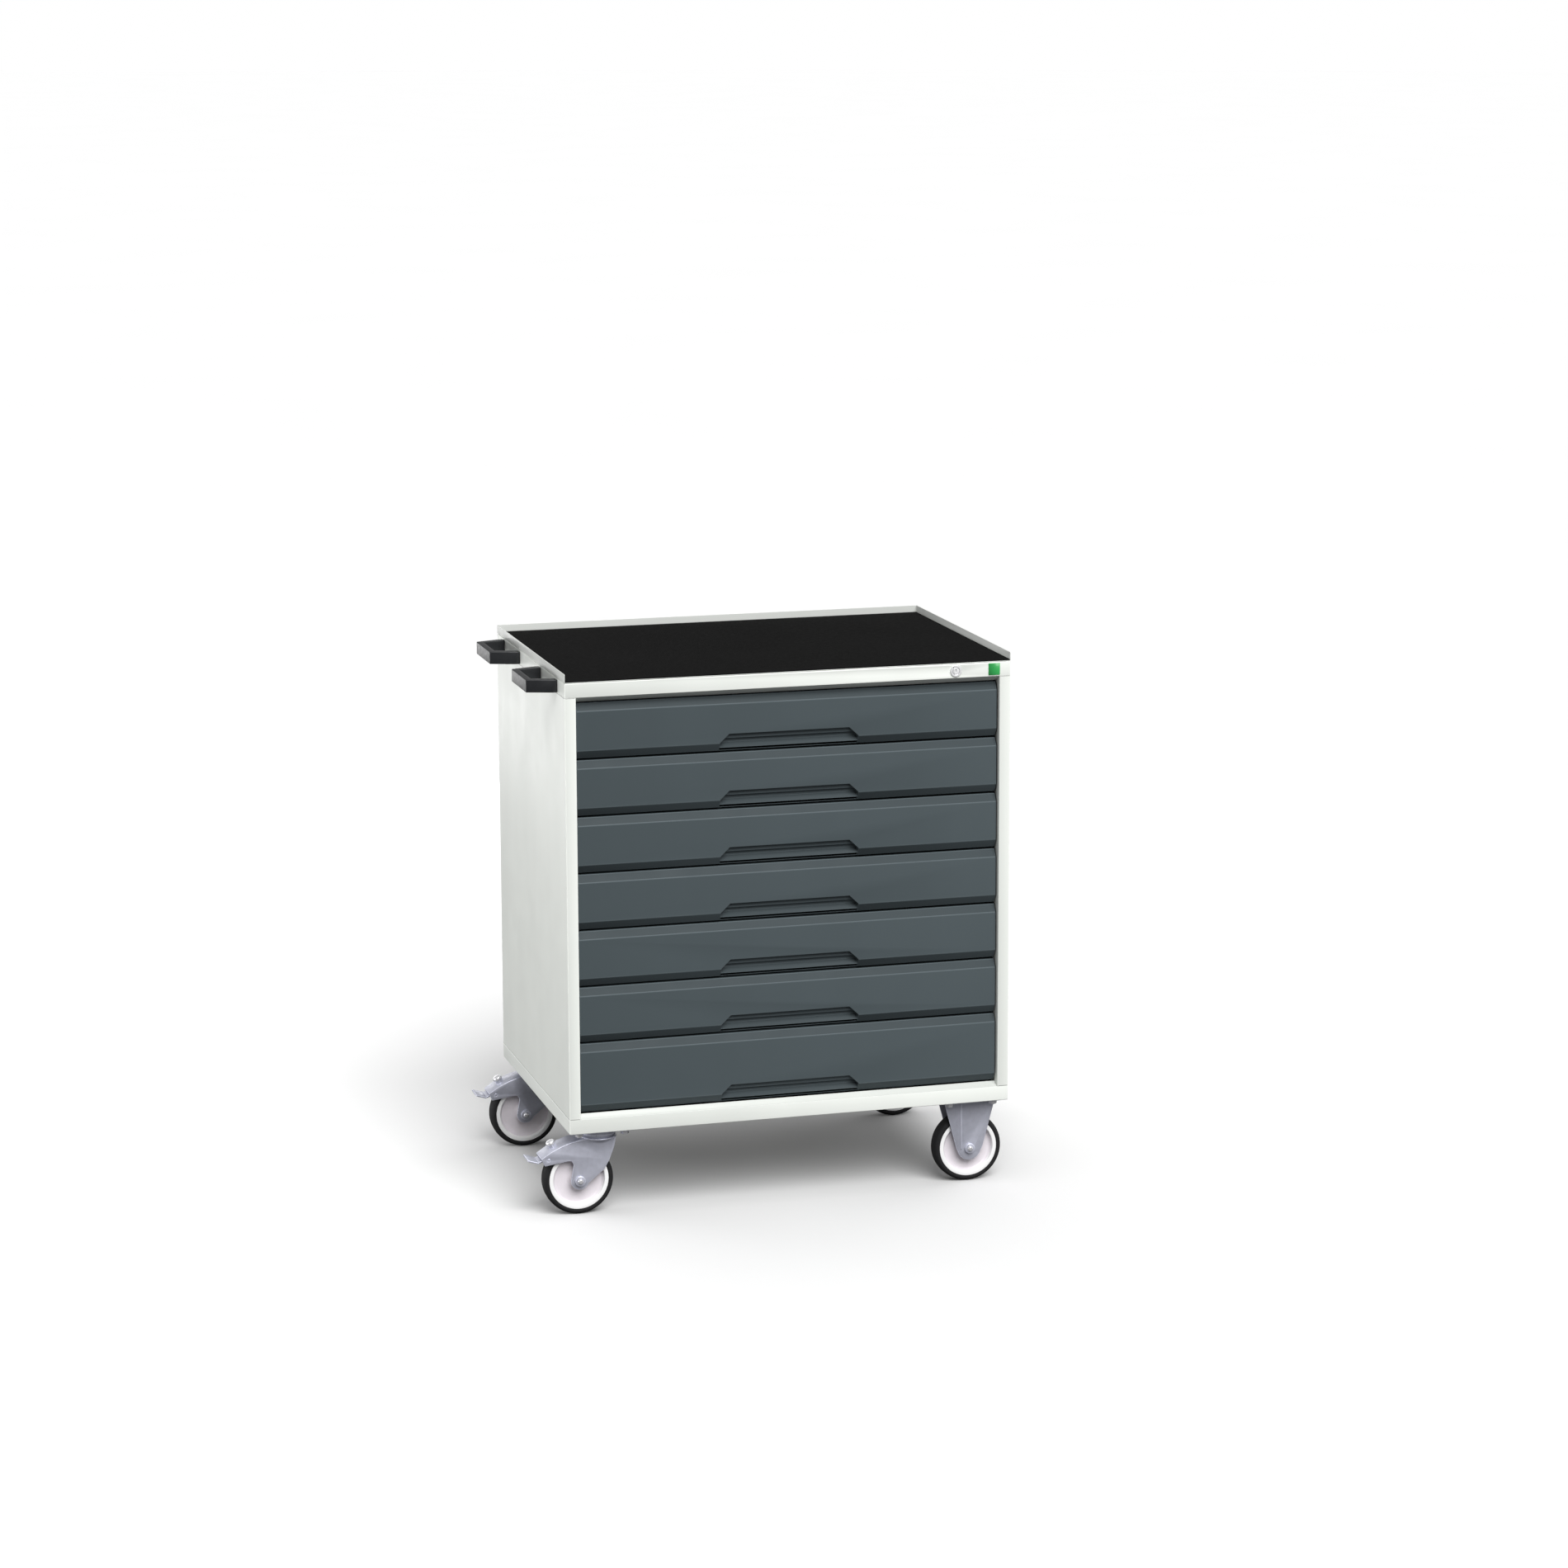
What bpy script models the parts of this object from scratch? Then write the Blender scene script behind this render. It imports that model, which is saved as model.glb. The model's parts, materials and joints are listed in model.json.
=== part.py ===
"""Mobile drawer cabinet with a tray top: seven full-extension drawers in a folded steel housing.

It stands on two swivel castors with brakes, two fixed castors, and is pushed by two bow handles.
Run it with blender --background --python part.py, or from Blender's text editor.
"""

from math import cos, pi, radians, sin

import bmesh
import bpy

# ---- Overall sizes, in metres -------------------------------------------------------------
CABINET_WIDTH = 0.800
CABINET_DEPTH = 0.550
DRAWER_PITCHES = (0.100, 0.100, 0.100, 0.100, 0.100, 0.100, 0.125)  # from the top down

# ---- Housing ------------------------------------------------------------------------------
BASE_HEIGHT = 0.026
BASE_SHEET = 0.0015
BASE_FLANGE = 0.018
LEDGE_RISE = 0.007
LEDGE_DEPTH = 0.016
RAIL_HEIGHT = 0.025
CORNICE_DROP = 0.011
CORNICE_DEPTH = 0.021
SLOPE_SHEET = 0.0012
LIP_HEIGHT = 0.016
HOUSING_SHEET = 0.0012
TRAY_TOP_SHEET = 0.001
POST_WIDTH = 0.020
POST_RETURN = 0.035
REAR_FLANGE = 0.015
REAR_RETURN = 0.012
MAT_THICKNESS = 0.0025
MAT_EDGE_GAP = 0.0005

# ---- Fits ---------------------------------------------------------------------------------
TOUCH = 0.0003  # between two pieces that rest on each other
SIDE_FIT = 0.0005  # between a piece and the side panel that it stands inside
WELD = 0.0002  # how far one half of a welded piece runs into the other

# ---- Drawers ------------------------------------------------------------------------------
FRONT_GAP = 0.0035  # between one front and the next
FRONT_SIDE_GAP = 0.002
FRONT_SHEET = 0.001
FACE_RECESS = 0.009  # the face stands this far behind the posts
EDGE_RECESS = 0.018  # and the top and bottom edges this far
FRONT_BACK = 0.032
CREST_HEIGHT = 0.0135
BEVEL_HEIGHT = 0.0145
GRIP_WIDTH = 0.250
GRIP_TOP_WIDTH = 0.216
GRIP_HEIGHT = 0.016
GRIP_HEAD = 0.0025
SCOOP_DEPTH = 0.010
SCOOP_POCKET = 0.007
SCOOP_WALL = 0.0085
SCOOP_SLOPE = 0.002
SCOOP_LIP_RISE = 0.005
SCOOP_SHEET = 0.001
DRAWER_SHEET = 0.001
DRAWER_LIFT = 0.005  # the tray's floor stands this far above the bottom of its pitch
DRAWER_HEADROOM = 0.015
DRAWER_REAR_GAP = 0.035

# ---- Drawer slides ------------------------------------------------------------------------
SLIDE_HALF_HEIGHT = 0.0225
SLIDE_AXIS_LIFT = 0.035  # the slide's middle above the tray's floor
SLIDE_DEPTH = 0.010
SLIDE_SHEET = 0.0012
SLIDE_FRONT_GAP = 0.053
SLIDE_REAR_GAP = 0.047
SLIDE_RUN_GAP = 0.0008  # between the flanges of nested members
SLIDE_WEB_GAP = 0.0005
SLIDE_POST_GAP = 0.0003
SLIDE_NEST = 0.0012
MIDDLE_DEPTH = 0.0095
INNER_DEPTH = 0.011
UPRIGHT_WIDTH = 0.030
UPRIGHT_INSET = 0.065

# ---- Lock ---------------------------------------------------------------------------------
LOCK_FROM_EDGE = 0.101
LOCK_FLANGE_RADIUS = 0.0105
LOCK_FLANGE = 0.0017
LOCK_BODY_RADIUS = 0.0080
LOCK_BODY_LENGTH = 0.026
LOCK_PLUG_RADIUS = 0.0060
LOCK_FIT = 0.0003
KEY_SLOT = (0.0012, 0.0070, 0.0040)
CAM_LENGTH = 0.020
CAM_WIDTH = 0.010
CAM_SHEET = 0.0025
LOCK_BAR_SHEET = 0.002
LOCK_BAR_WIDTH = 0.010
LOCK_BAR_SIDE_GAP = 0.002
LOCK_BAR_SETBACK = 0.039
LOCK_STROKE = 0.012
HOOK_SIZE = (0.012, 0.004, 0.008)
CATCH_SIZE = (0.012, 0.004, 0.008)
CATCH_CLEARANCE = 0.0035  # above the slide's channel
CATCH_SETBACK = 0.052
HOOK_TO_CATCH = 0.007

# ---- Badge and push handles ---------------------------------------------------------------
BADGE_SIDE = 0.021
BADGE_THICKNESS = 0.0009
BADGE_FROM_EDGE = 0.0305
HANDLE_INSET = 0.125
HANDLE_HEIGHT = 0.0225
HANDLE_REACH = 0.052
HANDLE_ROOT = 0.144
HANDLE_PAD = 0.009
HANDLE_BAR = 0.114
HANDLE_THICK = 0.012
HANDLE_ARM_THICK = 0.011
HANDLE_ROOT_THICK = 0.015
HANDLE_DROP = 0.0015  # from the top of the rail

# ---- Castors ------------------------------------------------------------------------------
CASTOR_INSET_X = 0.062
CASTOR_INSET_Y = 0.053
PLATE_LENGTH = 0.105
PLATE_WIDTH = 0.085
PLATE_THICKNESS = 0.003
WHEEL_RADIUS = 0.0625
TYRE_WIDTH = 0.032
TYRE_DEPTH = 0.0095
TYRE_SHOULDER = 0.003
RING_DEPTH = 0.007
RING_WIDTH = 0.030
DISC_WIDTH = 0.012
HUB_RADIUS = 0.014
HUB_WIDTH = 0.036
AXLE_RADIUS = 0.005
NUT_RADIUS = 0.009
NUT_THICKNESS = 0.005
CHEEK_GAP = 0.039
CHEEK_SHEET = 0.003
TRAIL = 0.038
CROWN_CLEARANCE = 0.0125  # over the tyre
CROWN_START = 0.020
HEEL_REACH = 0.065
ARM_EDGE = (  # from the arm's tip to the crown: the angle round the axle, and the height over the tyre
    (147.09, 0.01849),
    (131.76, 0.01257),
    (116.39, 0.00950),
    (101.23, 0.00938),
    (86.91, 0.01161),
)
ARM_TIP = (153.43, 0.00682)
HEEL_EDGE = ((0.062, 0.058), (0.053, 0.034), (0.044, 0.018))  # from the axle
SLOT_EDGE = ((-0.011, 0.030), (-0.014, 0.036), (-0.020, 0.037))
CHEEK_END_RADIUS = 0.016
RACE_RADIUS = 0.032
RACE_TAPER = 0.003
RACE_BAND = 0.006
RACE_HEIGHT = 0.0142  # from the crown to the plate
KINGPIN_RADIUS = 0.006
KINGPIN_HEAD_RADIUS = 0.010
KINGPIN_HEAD = 0.005
BRAKE_NUT_RADIUS = 0.008
BRAKE_NUT_HEIGHT = 0.012
BRAKE_NUT_PLACE = (125.75, 0.01451)  # the angle round the axle, and the height over the tyre
ARM_SLOPE = 30  # degrees, of the arm under the brake nut
PEDAL_PIVOT_PLACE = (142.63, 0.00670)
PEDAL_PIN_RADIUS = 0.0025
PEDAL_HUB_RADIUS = 0.004
PEDAL_SHEET = 0.003
PEDAL_WIDTH = 0.034
PEDAL_FOOT_WIDTH = 0.042
PEDAL_LENGTH = 0.036  # from its pivot
PEDAL_BEND = (-0.017, -0.004)
PEDAL_TIP_LIFT = 0.002
PEDAL_PIN_END = 0.001
BRACKET_TOP = 0.096
BRACKET_WAIST = 0.048
BRACKET_END_RADIUS = 0.022

ROUND_STEPS = 32
FINE_STEPS = 24
SHARP_ANGLE = 30  # degrees


# ---- Levels and planes that follow from the sizes -----------------------------------------
def over_tyre(angle, height):
    """The point at an angle round the axle, in degrees, and a height over the tyre."""
    radius = WHEEL_RADIUS + height
    return (radius * cos(radians(angle)), radius * sin(radians(angle)))


ARM_REACH = -over_tyre(*ARM_EDGE[0])[0]
PEDAL_PIVOT = over_tyre(*PEDAL_PIVOT_PLACE)
PEDAL_REACH = PEDAL_LENGTH - PEDAL_PIVOT[0]
CROWN_HEIGHT = WHEEL_RADIUS + CROWN_CLEARANCE  # above the axle
CASTOR_HEIGHT = WHEEL_RADIUS + CROWN_HEIGHT + RACE_HEIGHT + PLATE_THICKNESS + TOUCH
BASE_TOP = CASTOR_HEIGHT + BASE_HEIGHT
STACK_BOTTOM = BASE_TOP + LEDGE_RISE
STACK_TOP = STACK_BOTTOM + sum(DRAWER_PITCHES)
RAIL_BOTTOM = STACK_TOP + CORNICE_DROP
RAIL_TOP = RAIL_BOTTOM + RAIL_HEIGHT
LIP_TOP = RAIL_TOP + LIP_HEIGHT
DECK_UNDERSIDE = RAIL_TOP - HOUSING_SHEET
SIDE_X = CABINET_WIDTH / 2
FRONT_Y = -CABINET_DEPTH / 2
REAR_Y = CABINET_DEPTH / 2
POST_X = SIDE_X - POST_WIDTH
FRONT_HALF_WIDTH = POST_X - FRONT_SIDE_GAP

# From the posts inwards: fixed channel, middle member, and the member on the drawer.
CHANNEL_WEB = POST_X + SLIDE_POST_GAP
MIDDLE_WEB = CHANNEL_WEB - SLIDE_SHEET - SLIDE_WEB_GAP
INNER_TIP = MIDDLE_WEB - SLIDE_SHEET - SLIDE_NEST
TRAY_HALF_WIDTH = INNER_TIP - INNER_DEPTH
SLIDE_START = FRONT_Y + SLIDE_FRONT_GAP
SLIDE_END = REAR_Y - SLIDE_REAR_GAP
MIDDLE_HALF_HEIGHT = SLIDE_HALF_HEIGHT - SLIDE_SHEET - SLIDE_RUN_GAP
INNER_HALF_HEIGHT = MIDDLE_HALF_HEIGHT - SLIDE_SHEET - SLIDE_RUN_GAP
CATCH_LIFT = SLIDE_HALF_HEIGHT + CATCH_CLEARANCE + CATCH_SIZE[2] / 2  # above the slide's middle
UPRIGHT_OUTER = SIDE_X - HOUSING_SHEET - SIDE_FIT

LOCK_X = SIDE_X - LOCK_FROM_EDGE
RAIL_MIDDLE = RAIL_BOTTOM + RAIL_HEIGHT / 2
CASTOR_X = SIDE_X - CASTOR_INSET_X
CASTOR_Y = REAR_Y - CASTOR_INSET_Y
PLATE_TOP = CASTOR_HEIGHT - TOUCH
PLATE_UNDERSIDE = PLATE_TOP - PLATE_THICKNESS
CHEEK_Y = CHEEK_GAP / 2 + CHEEK_SHEET / 2
FORK_WIDTH = CHEEK_GAP + 2 * CHEEK_SHEET

# The part's origin is on the floor under the middle of its whole outline, so the cabinet stands a
# little to the right of it: the brake pedals reach out on the left.
PEDAL_OVERHANG = TRAIL + PEDAL_REACH - CASTOR_INSET_X
CABINET_SHIFT = PEDAL_OVERHANG / 2

PARTS = "mobile_drawer_cabinet"
CUTTERS = "cutters"

# ---- Finishes: colour, roughness, metallic --------------------------------------------------
FINISHES = {
    "housing_paint": ((0.80, 0.82, 0.79), 0.45, 0.0),
    "drawer_paint": ((0.085, 0.100, 0.112), 0.45, 0.0),
    "mat_rubber": ((0.018, 0.018, 0.018), 0.85, 0.0),
    "handle_plastic": ((0.020, 0.021, 0.024), 0.45, 0.0),
    "zinc_steel": ((0.42, 0.43, 0.48), 0.35, 0.6),
    "slide_steel": ((0.55, 0.56, 0.58), 0.30, 0.9),
    "lock_chrome": ((0.75, 0.75, 0.76), 0.12, 1.0),
    "badge_green": ((0.045, 0.38, 0.10), 0.40, 0.0),
    "wheel_plastic": ((0.78, 0.75, 0.78), 0.40, 0.0),
    "tyre_rubber": ((0.012, 0.012, 0.013), 0.60, 0.0),
}


# ---- Scene, collections and materials -------------------------------------------------------
def clear_scene():
    for obj in list(bpy.data.objects):
        bpy.data.objects.remove(obj, do_unlink=True)


def collection(name):
    found = bpy.data.collections.get(name)
    if found is None:
        found = bpy.data.collections.new(name)
        bpy.context.scene.collection.children.link(found)
    return found


def finish(obj, name):
    """Gives the object a material of its own in the named finish."""
    colour, roughness, metallic = FINISHES[name]
    material = bpy.data.materials.new(obj.name)
    material.use_nodes = True
    shader = material.node_tree.nodes["Principled BSDF"]
    shader.inputs["Base Color"].default_value = (*colour, 1.0)
    shader.inputs["Roughness"].default_value = roughness
    shader.inputs["Metallic"].default_value = metallic
    obj.data.materials.append(material)
    return obj


def add(name, mesh, parent=None, location=(0, 0, 0)):
    obj = bpy.data.objects.new(name, mesh)
    collection(PARTS).objects.link(obj)
    obj.location = location
    obj.parent = parent
    return obj


def empty(name, location, parent=None):
    return add(name, None, parent, location)


# ---- Shapes -----------------------------------------------------------------------------------
def on_axis(axis, u, v, w):
    """A profile's point (u, v) at the distance w along the axis that the profile is drawn across."""
    return {"X": (w, u, v), "Y": (u, w, v), "Z": (u, v, w)}[axis]


def mesh_from(bm, name):
    mesh = bpy.data.meshes.new(name)
    bm.to_mesh(mesh)
    bm.free()
    return mesh


def box(name, low, high, parent=None):
    """A block between two corners."""
    bm = bmesh.new()
    size = [b - a for a, b in zip(low, high)]
    bmesh.ops.create_cube(bm, size=1.0)
    bmesh.ops.scale(bm, vec=size, verts=bm.verts)
    centre = [(a + b) / 2 for a, b in zip(low, high)]
    return add(name, mesh_from(bm, name), parent, centre)


def solidify(obj, thickness, offset=-1):
    modifier = obj.modifiers.new("sheet", "SOLIDIFY")
    modifier.thickness = thickness
    modifier.offset = offset
    modifier.use_even_offset = True
    return obj


def open_box(name, low, high, sheet, open_sides, parent=None):
    """A folded box of sheet metal, without the sides that the given directions point out of."""
    obj = box(name, low, high, parent)
    bm = bmesh.new()
    bm.from_mesh(obj.data)
    bm.normal_update()
    gone = [f for f in bm.faces if any(f.normal.dot(side) > 0.9 for side in open_sides)]
    bmesh.ops.delete(bm, geom=gone, context="FACES")
    bm.to_mesh(obj.data)
    bm.free()
    return solidify(obj, sheet)


def sheet(name, profile, axis, start, end, thickness, parent=None):
    """A folded strip. Its profile is drawn with u to the right and v up, and the metal is on the
    right of the way it runs."""
    bm = bmesh.new()
    points = [bm.verts.new(on_axis(axis, u, v, start)) for u, v in profile]
    edges = [bm.edges.new(pair) for pair in zip(points, points[1:])]
    swept = bmesh.ops.extrude_edge_only(bm, edges=edges)["geom"]
    moved = [item for item in swept if isinstance(item, bmesh.types.BMVert)]
    bmesh.ops.translate(bm, vec=on_axis(axis, 0, 0, end - start), verts=moved)
    obj = add(name, mesh_from(bm, name), parent)
    return solidify(obj, thickness, offset=1 if axis == "Y" else -1)


def plate(name, outline, axis, start, end, parent=None):
    """A flat outline with a thickness, drawn across the axis."""
    curve = bpy.data.curves.new(name, "CURVE")
    curve.dimensions = "2D"
    curve.fill_mode = "BOTH"
    curve.extrude = (end - start) / 2
    spline = curve.splines.new("POLY")
    spline.points.add(len(outline) - 1)
    for point, (u, v) in zip(spline.points, outline):
        point.co = (u, v, 0, 1)
    spline.use_cyclic_u = True
    guide = add(name, curve)
    bpy.context.view_layer.update()
    mesh = bpy.data.meshes.new_from_object(guide.evaluated_get(bpy.context.evaluated_depsgraph_get()))
    bpy.data.objects.remove(guide)
    bm = bmesh.new()
    bm.from_mesh(mesh)
    bmesh.ops.remove_doubles(bm, verts=bm.verts, dist=0.00001)
    bmesh.ops.recalc_face_normals(bm, faces=bm.faces)
    bm.to_mesh(mesh)
    bm.free()
    obj = add(name, mesh, parent, on_axis(axis, 0, 0, (start + end) / 2))
    obj.rotation_euler = {"X": (pi / 2, 0, pi / 2), "Y": (pi / 2, 0, 0), "Z": (0, 0, 0)}[axis]
    return obj


def prism_shell(name, outline, start, end, thickness, open_side, parent=None):
    """A box of folded sheet with the outline (y, z) along X, open on one side."""
    bm = bmesh.new()
    face = bm.faces.new([bm.verts.new((start, y, z)) for y, z in outline])
    swept = bmesh.ops.extrude_face_region(bm, geom=[face])["geom"]
    moved = [item for item in swept if isinstance(item, bmesh.types.BMVert)]
    bmesh.ops.translate(bm, vec=(end - start, 0, 0), verts=moved)
    bmesh.ops.recalc_face_normals(bm, faces=bm.faces)
    gone = [f for f in bm.faces if f.normal.dot(open_side) > 0.99]
    bmesh.ops.delete(bm, geom=gone, context="FACES")
    return solidify(add(name, mesh_from(bm, name), parent), thickness)


def turned(name, profile, ring=True, steps=ROUND_STEPS, parent=None, along="Z"):
    """A round piece. The profile (radius, height) runs from top to bottom on its outer side, and
    closes on itself when the piece is a ring. Its axis points along Z, or forwards along -Y."""
    bm = bmesh.new()
    points = [bm.verts.new((radius, 0, height)) for radius, height in profile]
    pairs = list(zip(points, points[1:])) + ([(points[-1], points[0])] if ring else [])
    for pair in pairs:
        bm.edges.new(pair)
    obj = add(name, mesh_from(bm, name), parent)
    screw = obj.modifiers.new("turn", "SCREW")
    screw.steps = steps
    screw.render_steps = steps
    screw.use_merge_vertices = True
    screw.merge_threshold = 0.00001
    screw.use_smooth_shade = False
    if along == "Y":
        obj.rotation_euler = (pi / 2, 0, 0)
    return obj


def rod(name, radius, length, steps=FINE_STEPS, parent=None, location=(0, 0, 0), along="Z"):
    bm = bmesh.new()
    bmesh.ops.create_cone(
        bm, cap_ends=True, segments=steps, radius1=radius, radius2=radius, depth=length
    )
    obj = add(name, mesh_from(bm, name), parent, location)
    obj.data.shade_smooth()
    obj.data.set_sharp_from_angle(angle=radians(SHARP_ANGLE))
    if along == "Y":
        obj.rotation_euler = (pi / 2, 0, 0)
    return obj


def helper(obj):
    """Moves a piece that only cuts or joins another out of the part's own collection."""
    for owner in list(obj.users_collection):
        owner.objects.unlink(obj)
    collection(CUTTERS).objects.link(obj)
    obj.hide_render = True
    obj.display_type = "WIRE"


def combine(target, tool, operation):
    modifier = target.modifiers.new(tool.name, "BOOLEAN")
    modifier.operation = operation
    modifier.object = tool
    modifier.solver = "EXACT"
    helper(tool)
    return target


def join(target, *tools):
    for tool in tools:
        combine(target, tool, "UNION")
    return target


def cut(target, *tools):
    for tool in tools:
        combine(target, tool, "DIFFERENCE")
    return target


def mirrored(profile, side):
    """The profile for the left side (-1), or its reflection for the right side (+1), with the metal
    kept on the same side of it."""
    return [(-u, v) for u, v in reversed(profile)] if side > 0 else profile


def c_section(web, tip, half_height, middle=0.0):
    """A channel's outer surface: a web at u = web, and flanges that reach to u = tip."""
    low, high = middle - half_height, middle + half_height
    if tip > web:
        return [(tip, low), (web, low), (web, high), (tip, high)]
    return [(tip, high), (web, high), (web, low), (tip, low)]


# ---- Housing ------------------------------------------------------------------------------------
def side_panel(name, side, cabinet):
    """One side of the housing, folded round into the front post and the rear flange."""
    profile = [
        (-POST_X, FRONT_Y + POST_RETURN),
        (-POST_X, FRONT_Y),
        (-SIDE_X, FRONT_Y),
        (-SIDE_X, REAR_Y),
        (-SIDE_X + REAR_FLANGE, REAR_Y),
    ]
    panel = sheet(
        name, mirrored(profile, side), "Z", BASE_TOP + TOUCH, RAIL_BOTTOM - TOUCH, HOUSING_SHEET, cabinet
    )
    finish(panel, "housing_paint")


def rear_panel(cabinet):
    """The back, with a short fold forwards along each side."""
    edge = SIDE_X - HOUSING_SHEET - SIDE_FIT
    back = REAR_Y - HOUSING_SHEET - TOUCH
    profile = [(-edge, back - REAR_RETURN), (-edge, back), (edge, back), (edge, back - REAR_RETURN)]
    panel = sheet(
        "rear_panel", profile, "Z", BASE_TOP + TOUCH, DECK_UNDERSIDE - TOUCH, HOUSING_SHEET, cabinet
    )
    finish(panel, "housing_paint")


def slope(name, low_y, low_z, high_y, high_z, cabinet):
    """A sloping strip between the posts, with a thickness upwards."""
    outline = [
        (low_y, low_z),
        (high_y, high_z),
        (high_y, high_z + SLOPE_SHEET),
        (low_y, low_z + SLOPE_SHEET),
    ]
    half = POST_X - TOUCH
    return plate(name, outline, "X", -half, half, cabinet)


def top_cover(cabinet):
    """An upside-down pan over the housing. Its front is the rail over the drawers, which holds the
    lock and folds back into a sloping cornice."""
    low = (-SIDE_X, FRONT_Y, RAIL_BOTTOM)
    high = (SIDE_X, REAR_Y, RAIL_TOP)
    cover = open_box("top_cover", low, high, HOUSING_SHEET, [(0, 0, -1)], cabinet)
    inside = FRONT_Y + HOUSING_SHEET / 2
    cornice = slope("cornice", inside, RAIL_BOTTOM, FRONT_Y + CORNICE_DEPTH, STACK_TOP, cabinet)
    lock_hole = rod(
        "lock_hole",
        LOCK_BODY_RADIUS + LOCK_FIT,
        4 * HOUSING_SHEET,
        parent=cabinet,
        location=(LOCK_X, FRONT_Y, RAIL_MIDDLE),
        along="Y",
    )
    cut(join(cover, cornice), lock_hole)
    finish(cover, "housing_paint")


def top_tray(cabinet):
    """The loose tray on the cover, with a lip at the rear and on both sides, and open in front."""
    low = (-SIDE_X, FRONT_Y, RAIL_TOP + TOUCH)
    high = (SIDE_X, REAR_Y, LIP_TOP)
    tray = open_box("top_tray", low, high, TRAY_TOP_SHEET, [(0, 0, 1), (0, -1, 0)], cabinet)
    finish(tray, "housing_paint")


def top_mat(cabinet):
    floor = RAIL_TOP + TRAY_TOP_SHEET + 2 * TOUCH
    edge = TRAY_TOP_SHEET + MAT_EDGE_GAP
    low = (-SIDE_X + edge, FRONT_Y + MAT_EDGE_GAP, floor)
    high = (SIDE_X - edge, REAR_Y - edge, floor + MAT_THICKNESS)
    finish(box("top_mat", low, high, cabinet), "mat_rubber")


def base_pan(cabinet):
    """The pan under the drawers, which the castors are bolted to. It has flanges for the side and
    rear panels to stand on, and a sloping ledge between the posts."""
    low = (-SIDE_X, FRONT_Y, CASTOR_HEIGHT)
    high = (SIDE_X, REAR_Y, BASE_TOP)
    pan = open_box("base_pan", low, high, BASE_SHEET, [(0, 0, 1)], cabinet)
    under = BASE_TOP - BASE_SHEET
    middle = BASE_SHEET / 2
    for side in (-1, 1):
        across = sorted((side * (SIDE_X - middle), side * (SIDE_X - BASE_FLANGE)))
        low = (across[0], FRONT_Y + middle, under)
        high = (across[1], REAR_Y - middle, BASE_TOP)
        join(pan, box(f"side_flange_{side}", low, high, cabinet))
    low = (-SIDE_X + middle, REAR_Y - BASE_FLANGE, under)
    high = (SIDE_X - middle, REAR_Y - middle, BASE_TOP)
    join(pan, box("rear_flange", low, high, cabinet))
    front = FRONT_Y + middle
    back = FRONT_Y + LEDGE_DEPTH
    join(pan, slope("ledge", front, under, back, STACK_BOTTOM - SLOPE_SHEET, cabinet))
    finish(pan, "housing_paint")


def runner_frame(name, side, cabinet):
    """Two uprights inside one side panel, with a fixed slide channel welded on for each drawer."""
    face = CHANNEL_WEB - WELD
    frame = None
    middles = (SLIDE_START + UPRIGHT_INSET - UPRIGHT_WIDTH, SLIDE_END - UPRIGHT_INSET)
    for number, middle in enumerate(middles):
        low, high = middle - UPRIGHT_WIDTH / 2, middle + UPRIGHT_WIDTH / 2
        profile = [(-UPRIGHT_OUTER, low), (-face, low), (-face, high), (-UPRIGHT_OUTER, high)]
        profile = mirrored(profile[::-1], side)
        upright = sheet(
            name if frame is None else f"{name}_{number}",
            profile,
            "Z",
            BASE_TOP + TOUCH,
            DECK_UNDERSIDE - TOUCH,
            SLIDE_SHEET,
            cabinet,
        )
        frame = upright if frame is None else join(frame, upright)
    for number, (bottom, _) in enumerate(drawer_levels(), start=1):
        middle = bottom + DRAWER_LIFT + SLIDE_AXIS_LIFT
        profile = c_section(-CHANNEL_WEB, -CHANNEL_WEB + SLIDE_DEPTH, SLIDE_HALF_HEIGHT, middle)
        channel = sheet(
            f"{name}_channel_{number}",
            mirrored(profile, side),
            "Y",
            SLIDE_START,
            SLIDE_END,
            SLIDE_SHEET,
            cabinet,
        )
        join(frame, channel)
    finish(frame, "slide_steel")


# ---- Drawers --------------------------------------------------------------------------------------
def drawer_levels():
    """The bottom and the pitch of each drawer, from the top down."""
    levels = []
    bottom = STACK_TOP
    for pitch in DRAWER_PITCHES:
        bottom -= pitch
        levels.append((bottom, pitch))
    return levels


def grip_opening(number, drawer):
    """The cutter for the finger hole in the bottom edge of a front."""
    edge = FRONT_GAP / 2 + BEVEL_HEIGHT
    half, half_top = GRIP_WIDTH / 2, GRIP_TOP_WIDTH / 2
    outline = [
        (-half, 0),
        (half, 0),
        (half, edge),
        (half_top, edge + GRIP_HEIGHT),
        (-half_top, edge + GRIP_HEIGHT),
        (-half, edge),
    ]
    depth = EDGE_RECESS + 2 * FRONT_SHEET
    return plate(f"grip_opening_{number}", outline, "Y", 0, depth, drawer)


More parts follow.
